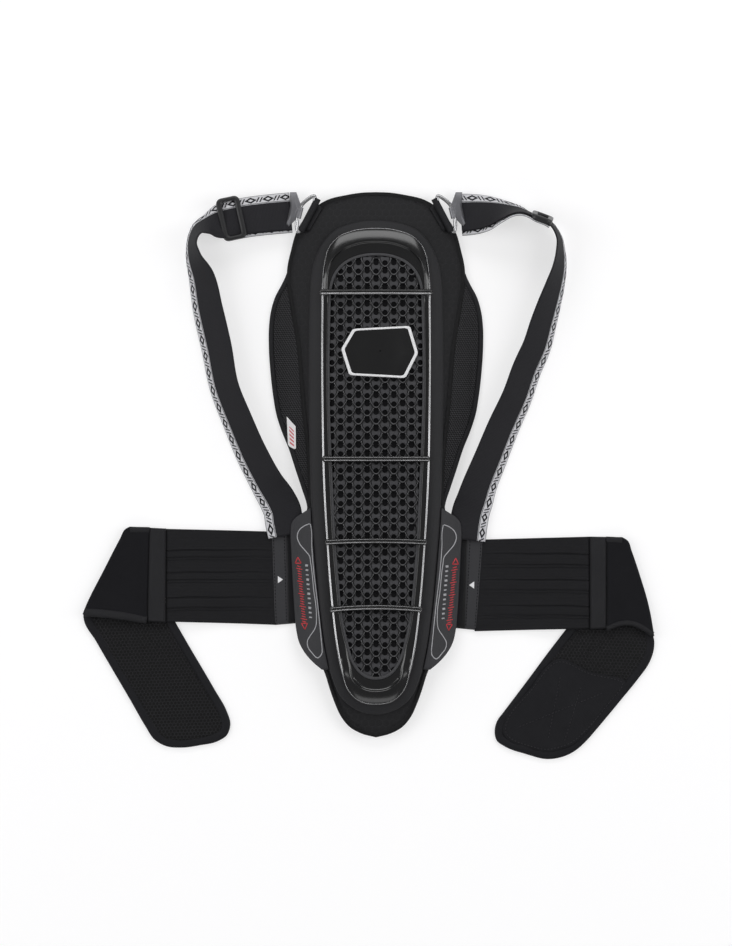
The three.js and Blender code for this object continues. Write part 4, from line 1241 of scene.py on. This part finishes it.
def makeTab(name, side):
    # Webbing strip with a stitched seam down each side of its grey half, and an arrow that reads against a scale
    size = {"seams": (0.50, 0.93), "stitch": 3.2, "arrow": 2.6, "arrowHalf": 3.6}
    body, sign = f"{name}_belt_tab", side["sign"]
    inner, outer = [resample(np.array(side[k], float), 40) for k in ("tabInner", "tabOuter")]

    def share(x, y):  # 0 at the shell side of the tab, 1 at the belt side
        return (np.abs(x) - np.interp(-y, -inner[:, 1], np.abs(inner[:, 0]))) / 24

    def top(x, y):
        return 3.0 + 0.8 * smoothStep((share(x, y) - 0.42) / 0.06) + 0.15 * np.sin(y / 6)

    def across(points):
        return np.stack([share(points[:, 0], points[:, 1]), points[:, 1]], axis=1)

    piece = slabPiece(f"{name}_tab_tape", (inner, outer), flatAt(0.1), top, 1.2, 60, tabStrip, 0.2, across)
    finishPiece(piece, body, "belt_fabric", f"{name}_belt_tab")
    rows = []
    for place in size["seams"]:
        path = inner + (outer - inner) * place
        rows.append(stitchRow(draped(path[1:-1], top, 0.15), size["stitch"]))
    finishPiece(joinedPiece(f"{name}_tab_thread", rows, black, False), body, "belt_fabric")
    tip, half = -sign * size["arrow"], size["arrowHalf"]
    mark = np.array(side["arrowAt"]) + np.array([(tip, 0), (-tip, half), (-tip, -half)])
    z = top(mark[:, 0], mark[:, 1])
    points, faces = plate(mark, z, z + 0.3, 0.1)
    finishPiece(makePiece(f"{name}_tab_arrow", points, faces, white, outward=True, sharp=30), body, "label_white")


def printStrip(path, wide, surface, high=0.16):
    # A thin raised line of ink along a plan path
    path = np.asarray(path, float)
    points = draped(path, surface, 0)
    return swept(points, (0, 0, 1), np.array([(-wide / 2, -0.1), (wide / 2, -0.1), (wide / 2, high * 0.7),
                                              (wide / 4, high), (-wide / 4, high), (-wide / 2, high * 0.7)]))


panel = {"edge": [(62, -40.5), (72, -47), (81.5, -53.6), (84.6, -58.5), (85.4, -66), (84.8, -85), (83.4, -115),
                  (81.6, -145), (79.6, -165), (76.8, -177), (71, -187.5), (62.5, -197), (54, -204)],
         "outline": [[(-66, -58.5), (-72, -61), (-77.2, -66), (-78.6, -71), (-76.5, -78), (-70, -86), (-66.4, -90.5),
                      (-65, -98), (-62, -125), (-59.4, -148), (-60.4, -162), (-66, -171), (-68.2, -175), (-68, -181),
                      (-64, -187), (-58, -192.2), (-54, -188), (-53.6, -183)],
                     [(-53.5, -184), (-58, -140), (-62.6, -100), (-64, -80), (-64.4, -64), (-65.4, -58.8)]],
         "marks": [((-78, -92), (-77.6, -98)), ((-70.8, -164), (-71.4, -158))],
         "ticks": 23, "dashes": 12, "outlineWide": 0.95, "tickWide": 1.05, "markWide": 1.1}


def makePanel(name, side):
    # Laminated panel between the surround and its own outer edge, with raised ink: outline, red scale, dashes, marks
    sign = side["sign"]
    outer = hermiteCurve(panel["edge"], 2.5)[0]
    inner = np.stack([surroundEdge(outer[:, 1]) + 0.6, outer[:, 1]], axis=1)
    inner, outer = inner * [sign, 1], outer * [sign, 1]
    top = lambda x, y: chassisTop(x, y) + 2.1 + 0.3 * np.sin(y / 21) * np.sin(np.abs(x) / 9)
    piece = slabPiece(f"{name}_panel_skin", (inner, outer), raised(chassisTop, 0.35), top, 1.3, 26, laminate, 0.5)
    finishPiece(piece, "root", "panel_laminate", f"{name}_waist_panel")

    def at(points):  # plan points given for the left panel, mirrored and nudged for the right one
        points = np.array(points, float)
        return points if sign < 0 else points * [-1, 1] + [1.6, -1.0]

    rows = [printStrip(hermiteCurve(at(part), 1.2)[0], panel["outlineWide"], top) for part in panel["outline"]]
    finishPiece(joinedPiece(f"{name}_panel_outline", rows, silver), "root", "label_white")
    rows = []
    for k in range(panel["ticks"]):
        share = k / (panel["ticks"] - 1)
        x, y = -76.9 + 5.2 * share, -101.5 - 55 * share
        wide = 3.1 if k % 5 == 1 else 1.9
        rows.append(printStrip(line(*at([(x - wide, y + 0.9), (x + wide, y - 0.3)]), 3), panel["tickWide"], top))
    finishPiece(joinedPiece(f"{name}_panel_scale", rows, red), "root", "panel_laminate")
    dashes = []
    for k in range(panel["dashes"]):
        x, y = -69.2 + 0.36 * k, -100 - 4.7 * k
        dashes.append(printStrip(line(*at([(x - 1.4, y), (x + 1.4, y - 0.4)]), 3), 2.2 - 0.5 * (k % 3), top))
    finishPiece(joinedPiece(f"{name}_panel_dashes", dashes, silver), "root", "label_white")
    marks = []
    for tip, base in panel["marks"]:
        mark = at([tip, (base[0] - 3, base[1]), (base[0] + 3, base[1])])
        marks += [printStrip(line(a, b, 3), panel["markWide"], top) for a, b in zip(mark, np.roll(mark, -1, 0))]
    finishPiece(joinedPiece(f"{name}_panel_marks", marks, red), "root", "panel_laminate")


surroundCurve = hermiteCurve(surroundHalf, 3)[0]
chassisCurve = hermiteCurve(chassisHalf, 3)[0]


def surroundEdge(y):  # how far out the surround reaches at each place along the spine
    return np.interp(-y, -surroundCurve[:, 1], surroundCurve[:, 0])


wing = {"edge": [(88, 195), (90.6, 188), (94.2, 180.5), (100.8, 168), (105, 154), (107, 138), (107.2, 120),
                 (105.4, 91), (103, 70), (99.5, 50), (94, 33), (87.5, 17), (80, -6), (74, -24), (69.5, -38),
                 (68.4, -44)],
        "tape": 4.4, "mesh": 3.0, "tapeHigh": 3.9}


def makeWing(name, side):
    # Spacer mesh from under the chassis edge outwards, its outer edge bound with tape
    sign = side["sign"]
    outer = hermiteCurve(wing["edge"], 2.5)[0]
    inner = np.stack([np.interp(-outer[:, 1], -chassisCurve[:, 1], chassisCurve[:, 0]) - 1.5, outer[:, 1]], axis=1)
    tangent = np.gradient(outer, axis=0)
    tangent /= np.linalg.norm(tangent, axis=1)[:, None]
    edge = outer - np.stack([-tangent[:, 1], tangent[:, 0]], axis=1) * wing["tape"]
    edge = np.stack([np.maximum(edge[:, 0], inner[:, 0] + 0.4), edge[:, 1]], axis=1)
    flip = [sign, 1]
    top = lambda x, y: rear(x, y) + wing["mesh"] + 0.35 * np.sin(y / 19) * np.sin(np.abs(x) / 7)
    mesh = slabPiece(f"{name}_wing_mesh", (inner * flip, edge * flip), raised(rear, 0.3), top, 1.0, 20, wingMesh, 0.3)
    finishPiece(mesh, "root", "spacer_mesh", f"{name}_mesh_wing")
    low, high = raised(rear, 0.1), raised(rear, wing["tapeHigh"])
    edges = (edge - [0.5, 0]) * flip, outer * flip
    piece = slabPiece(f"{name}_wing_tape", edges, low, high, 1.9, 10, tape, 0.5)
    finishPiece(piece, "root", "spacer_mesh", f"{name}_wing_binding")


for name, side in sides.items():
    lift = liftFor(side)
    makeElastic(name, side, lift)
    makeBand(name, side, lift)
    makeKnit(name, side, lift)
    makeFoldRoll(name, side)
    makeBeltEnd(name, side)
    makeTab(name, side)
    makePanel(name, side)
    makeWing(name, side)
print("belts, panels and wings made")


# ---- shoulder straps and hardware ----

def strapFrames(side, spacing=2.0):
    # Centre line, direction across (towards the outer edge) and direction off the face, all along one strap
    route = np.array(side["route"], float) * [1, 1, 1, 0.01]  # the roll is scaled down to weigh little in each chord
    curve, counts = hermiteCurve(route, spacing)
    centre, roll = curve[:, :3], np.radians(curve[:, 3] * 100)[:, None]
    tangent = np.gradient(centre, axis=0)
    tangent /= np.linalg.norm(tangent, axis=1)[:, None]
    outward = np.cross([0, 0, 1], tangent) * -side["sign"]
    outward /= np.linalg.norm(outward, axis=1)[:, None]
    face = np.cross(tangent, outward) * -side["sign"]
    across = outward * np.cos(roll) - face * np.sin(roll)
    normal = outward * np.sin(roll) + face * np.cos(roll)
    return centre, across, normal, tangent, np.concatenate([[0], np.cumsum(counts)])


def ribbon(centre, across, normal, wide, thick, name, material):
    # Closed band: top and under side meet at rounded edges; u runs in from the outer edge and v along, in millimetres
    u = np.linspace(0, 1, 23)
    offset = (0.5 - u) * wide
    edge = roundEdge(np.minimum(u, 1 - u) * wide, 0.7)
    cup = 0.5 * (np.abs(offset) / (wide / 2)) ** 2  # webbing dishes slightly across its width
    top = np.stack([offset, edge * thick / 2 - cup], axis=1)
    under = np.stack([offset, -edge * thick / 2 - cup], axis=1)[::-1][1:-1]
    section = np.concatenate([top, under])
    points = centre[:, None] + across[:, None] * section[None, :, :1] + normal[:, None] * section[None, :, 1:]
    step = np.linalg.norm(np.diff(centre, axis=0), axis=1)
    along = np.concatenate([[0], np.cumsum(step)])
    uAcross = wide / 2 - section[:, 0]
    uv = np.stack(np.broadcast_arrays(uAcross[None], along[:, None]), axis=2).reshape(-1, 2)
    size = len(section)
    faces = [gridFaces(len(centre), size, closedColumns=True)] + capFaces(len(centre), size)
    return makePiece(name, points.reshape(-1, 3), faces, material, uv=uv, outward=True), along[-1]


def inFrame(points, origin, axes):  # local (x, y, z) points placed at origin along three axes
    return origin + points[:, :1] * axes[0] + points[:, 1:2] * axes[1] + points[:, 2:] * axes[2]


def roundedBox(halfX, halfY, radius, count=6):  # four quarter circles, one at each corner
    corners = []
    for k, (sx, sy) in enumerate(((1, 1), (-1, 1), (-1, -1), (1, -1))):
        turn = np.pi / 2 * k + np.linspace(0, np.pi / 2, count)
        corners.append(np.stack([np.cos(turn) * radius + sx * (halfX - radius),
                                 np.sin(turn) * radius + sy * (halfY - radius)], axis=1))
    return np.concatenate(corners)


def makeStrap(name, side):
    # Webbing to the slide and on to the hook, its doubled return beneath; points 2 to 5 of the route are its bend
    size = {"wide": 38, "thick": 1.7, "returnThick": 1.6, "returnGap": 2.5, "bendFrom": 2, "bendTo": 5,
            "returnFrom": 16, "slideLift": 0.9, "rail": 4.2, "crossRail": 5.4}
    body = f"{name}_shoulder_strap"
    centre, across, normal, tangent, marks = strapFrames(side)
    piece, length = ribbon(centre, across, normal, size["wide"], size["thick"], f"{name}_strap_ribbon", strapCloth)
    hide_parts(f"{name}_strap", f"{name}_strap_anchor")
    low, high = [(centre[marks[size[k]]] + shift) * mm for k in ("bendFrom", "bendTo")]
    tuple(low)
    tuple(high)
    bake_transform(piece)

    first = marks[size["returnFrom"]]
    under = centre - normal * size["returnGap"] - across * side["returnDrop"]
    piece, length = ribbon(under[first:], -across[first:], normal[first:], size["wide"], size["returnThick"],
                           f"{name}_return_ribbon", strapCloth)
    finishPiece(piece, body, "strap_webbing", f"{name}_strap_return")

    # Three-bar slide: a rounded frame over the webbing, with its middle bar beneath
    at = np.array(side["sliderAt"], float)
    k = int(np.argmin(np.linalg.norm(centre - at, axis=1)))
    axes = (tangent[k], across[k], normal[k])
    halfX, halfY = side["sliderHalf"]
    outer, inner = roundedBox(halfX, halfY, 5.5), roundedBox(halfX - size["crossRail"], halfY - size["rail"], 2.6)
    steps = [(0, 0.6, -2.4), (0, 0, -1.6), (0, 0, 1.8), (0, 0.5, 2.7), (0.35, 0, 3.1), (0.65, 0, 3.1), (1, -0.5, 2.7),
             (1, 0, 1.9), (1, 0, -1.6), (1, -0.6, -2.4)]
    points, faces = ringLoft(outer, inner, sameAllRound(steps), flatAt(0))
    bar, barFaces = swept(line((0, -halfY + 2, -2.8), (0, halfY - 2, -2.8), 4), (0, 0, 1), ovalSection(4.5, 2.4))
    points, faces = join([(points, [faces]), (bar, barFaces)])
    middle = centre[k] * [1, 0, 1] + [0, at[1], 0] + normal[k] * size["slideLift"]
    piece = makePiece(f"{name}_slide_frame", inFrame(points, middle, axes), faces, moulded, outward=True, sharp=45)
    finishPiece(piece, f"{name}_slider", "slider_plastic", f"{name}_slider")


def makeHardware(name, side):
    size = {"ring": [(60, 267.5, 14.6), (74.3, 259.5, 14.7), (79.2, 241, 14.7), (76.6, 231.8, 14.6)], "wire": 3.9,
            "hook": [(86, 272), (79.4, 272), (73.8, 256.5), (78, 247), (87, 237.6), (89.4, 240), (85.6, 258)],
            "hookLow": 12.0, "hookHigh": 15.6, "ridge": 18.3, "ridgeShare": 0.45, "sleeve": 6.2}
    sign = side["sign"]
    flip = np.array([sign, 1, 1])
    # Wire ring: four bars, each corner eased between a point just before it and one just after
    corners = np.array(size["ring"]) * flip
    bars = zip(corners, np.roll(corners, -1, 0))
    path = hermiteCurve([c for a, b in bars for c in (a * 0.94 + b * 0.06, a * 0.06 + b * 0.94)], 1.6, closed=True)[0]
    piece = sweptPiece(f"{name}_ring_wire", path, ovalSection(size["wire"], size["wire"], 10), metalAndHighlight, closed=True)
    finishPiece(piece, "root", "hook_grey", f"{name}_shoulder_ring")
    # Webbing tab: it runs over the ring's inner bar and is sewn to the shell
    path = line(np.array((58, 265.5, 14.6)) * flip, np.array((75.2, 232.6, 14.6)) * flip, 24)
    piece = sweptPiece(f"{name}_tab_roll", path, ovalSection(6.6, 6.2, 14), tape)
    finishPiece(piece, "root", "strap_webbing")
    edges = line((53.5, 256), (67, 233), 14) * [sign, 1], line((58.5, 262), (73, 235), 14) * [sign, 1]
    piece = slabPiece(f"{name}_tab_webbing", edges, raised(chassisTop, 0.2), raised(chassisTop, 2.2), 0.8, 12, tape)
    finishPiece(piece, "root", "strap_webbing", f"{name}_ring_tab")
    # Faceted hook plate rising to a smaller top face, with a sleeve round the ring's outer bar
    outline = np.array(size["hook"]) * [sign, 1]
    points, faces = plate(outline, size["hookLow"], size["hookHigh"], 1.1)
    middle, count, start = outline.mean(0), len(outline), len(points)
    ridge = middle + (outline - middle) * size["ridgeShare"]
    top = np.concatenate([ridge, np.full((count, 1), size["ridge"])], axis=1)
    faces = faces[:2] + [2 * count + wallFaces(count, start - 2 * count), start + np.arange(count)[None]]
    sleeve, sleeveFaces = swept(line(np.array((75.2, 257, 14.7)) * flip, np.array((78.0, 246, 14.7)) * flip, 8),
                                (0, 0, 1), ovalSection(size["sleeve"], size["sleeve"], 16))
    points, faces = join([(np.concatenate([points, top]), faces), (sleeve, sleeveFaces)])
    piece = makePiece(f"{name}_hook_shell", points, faces, coated, outward=True, sharp=20)
    finishPiece(piece, f"{name}_shoulder_strap", "hook_grey", f"{name}_strap_hook")


for name, side in sides.items():
    makeStrap(name, side)
    makeHardware(name, side)

# The solids that stay get finishes too
kept = {"belt_liner": endMesh, "belt_stay_1": moulded, "belt_stay_2": moulded, "belt_stay_3": moulded,
        "tab_hook_strip": pile, "panel_loop_patch": pile}
for name in sides:
    for node, material in kept.items():
        solid = bpy.data.objects[f"{name}_{node}"]
        solid.material_slots[0].link = "OBJECT"
        solid.material_slots[0].material = material


def makeLabel():
    # Small four-sided woven label on the left wing, a straight blend between its corners with an eased bottom edge
    corners = {"lowLeft": (-87.9, 19.0), "lowRight": (-79.9, 15.0), "topLeft": (-89.2, 48.4),
               "topRight": (-80.2, 38.6)}
    rows, columns = 24, 10
    v, u = [a.ravel() for a in np.meshgrid(np.linspace(0, 1, rows), np.linspace(0, 1, columns), indexing="ij")]
    weights = np.stack([(1 - u) * (1 - v), u * (1 - v), (1 - u) * v, u * v], axis=1)
    plan = weights @ np.array(list(corners.values()))
    plan[:, 1] += 1.6 * (2 * u - 1) ** 4 * (1 - v) ** 6
    points = draped(plan, rear, 4.3)
    under = draped(plan, rear, 3.5)
    faces = gridFaces(rows, columns)
    points, faces = join([(points, [faces]), (under, [faces[:, ::-1]])])
    piece = makePiece("side_label_cloth", points, faces, labelCloth, uv=np.tile(np.stack([u, v], axis=1), (2, 1)),
                      weld=0.01)
    finishPiece(piece, "root", "label_white", "side_label")


def labelFinish():
    # Pale field with a column of slanting red bars, repeated by a sine of v sheared along u
    g = Graph("label_cloth")
    u, v = g.plan()
    fine = g.noise(1500.0, 2.0)
    bars = ((v * 44.0 + u * 2.4).sine() > -0.1) * (u > 0.24) * (u < 0.78) * (v < 0.74) * (v > 0.09)
    return g.finish(Base_Color=g.mix(bars * (0.75 + fine * 0.2), (0.78, 0.77, 0.78), (0.58, 0.04, 0.055)),
                    Roughness=0.6 + fine * 0.2, Specular_IOR_Level=0.3, Normal=g.bump(fine, 0.1, 0.6))


labelCloth = labelFinish()
makeLabel()
print("straps and hardware made")

# ---- studio ----

def makeStudio():
    place = {"viewX": -10, "viewY": -8, "distance": 5.0, "tall": 0.946, "sensor": 36.0, "floorHalf": 6,
             "floorDrop": 0.0004, "floorGlow": 0.58, "fill": 0.22, "backdrop": 0.9}
    camera = bpy.data.objects.new("camera", bpy.data.cameras.new("camera"))
    bpy.context.collection.objects.link(camera)
    camera.data.sensor_width = place["sensor"]
    camera.data.lens = place["sensor"] * place["distance"] / place["tall"]
    camera.data.clip_end = 100
    camera.location = ((place["viewX"] + shift[0]) * mm, (place["viewY"] + shift[1]) * mm, place["distance"])
    bpy.context.scene.camera = camera

    half, below = place["floorHalf"], -place["floorDrop"]  # just under the lowest face, so the two never flicker
    floorMesh = bpy.data.meshes.new("floor")
    floorCorners = [(x * half, y * half, below) for x, y in ((-1, -1), (1, -1), (1, 1), (-1, 1))]
    floorMesh.from_pydata(floorCorners, [], [(0, 1, 2, 3)])
    g = Graph("floor_paper")
    tooth = g.noise(300.0)
    floorMesh.materials.append(g.finish(Base_Color=g.mix(tooth * 0.4, (0.46, 0.458, 0.464), (0.44, 0.438, 0.446)),
                                        Roughness=0.85, Specular_IOR_Level=0.2, Emission_Color=(1, 1, 1),
                                        Emission_Strength=place["floorGlow"]))
    floor = bpy.data.objects.new("floor", floorMesh)
    bpy.context.collection.objects.link(floor)

    lamps = [("left_box", (-1.9, 0.1, 1.5), (1.3, 2.4), 26), ("right_box", (1.9, 0.1, 1.5), (1.3, 2.4), 26),
             ("neck_box", (0.0, 2.1, 1.5), (3.0, 1.0), 27), ("waist_box", (0.0, -2.1, 1.5), (2.4, 0.9), 8)]
    for name, at, (wide, high), power in lamps:
        data = bpy.data.lights.new(name, "AREA")
        data.shape, data.size, data.size_y, data.energy = "RECTANGLE", wide, high, power
        lamp = bpy.data.objects.new(name, data)
        lamp.location = at
        lamp.rotation_euler = (-Vector(at)).to_track_quat("-Z", "Y").to_euler()
        bpy.context.collection.objects.link(lamp)

    world = bpy.data.worlds.new("studio")
    world.use_nodes = True
    bpy.context.scene.world = world
    nodes, links = world.node_tree.nodes, world.node_tree.links
    back = nodes["Background"]  # dim to the object, pale where it is seen directly
    seen = nodes.new("ShaderNodeLightPath")
    level = nodes.new("ShaderNodeMapRange")
    level.inputs["To Min"].default_value = place["fill"]
    level.inputs["To Max"].default_value = place["backdrop"]
    links.new(seen.outputs["Is Camera Ray"], level.inputs["Value"])
    links.new(level.outputs[0], back.inputs["Strength"])
    back.inputs["Color"].default_value = (1, 1, 1, 1)
    bpy.context.scene.view_settings.view_transform = "Standard"


makeStudio()
print("studio made")
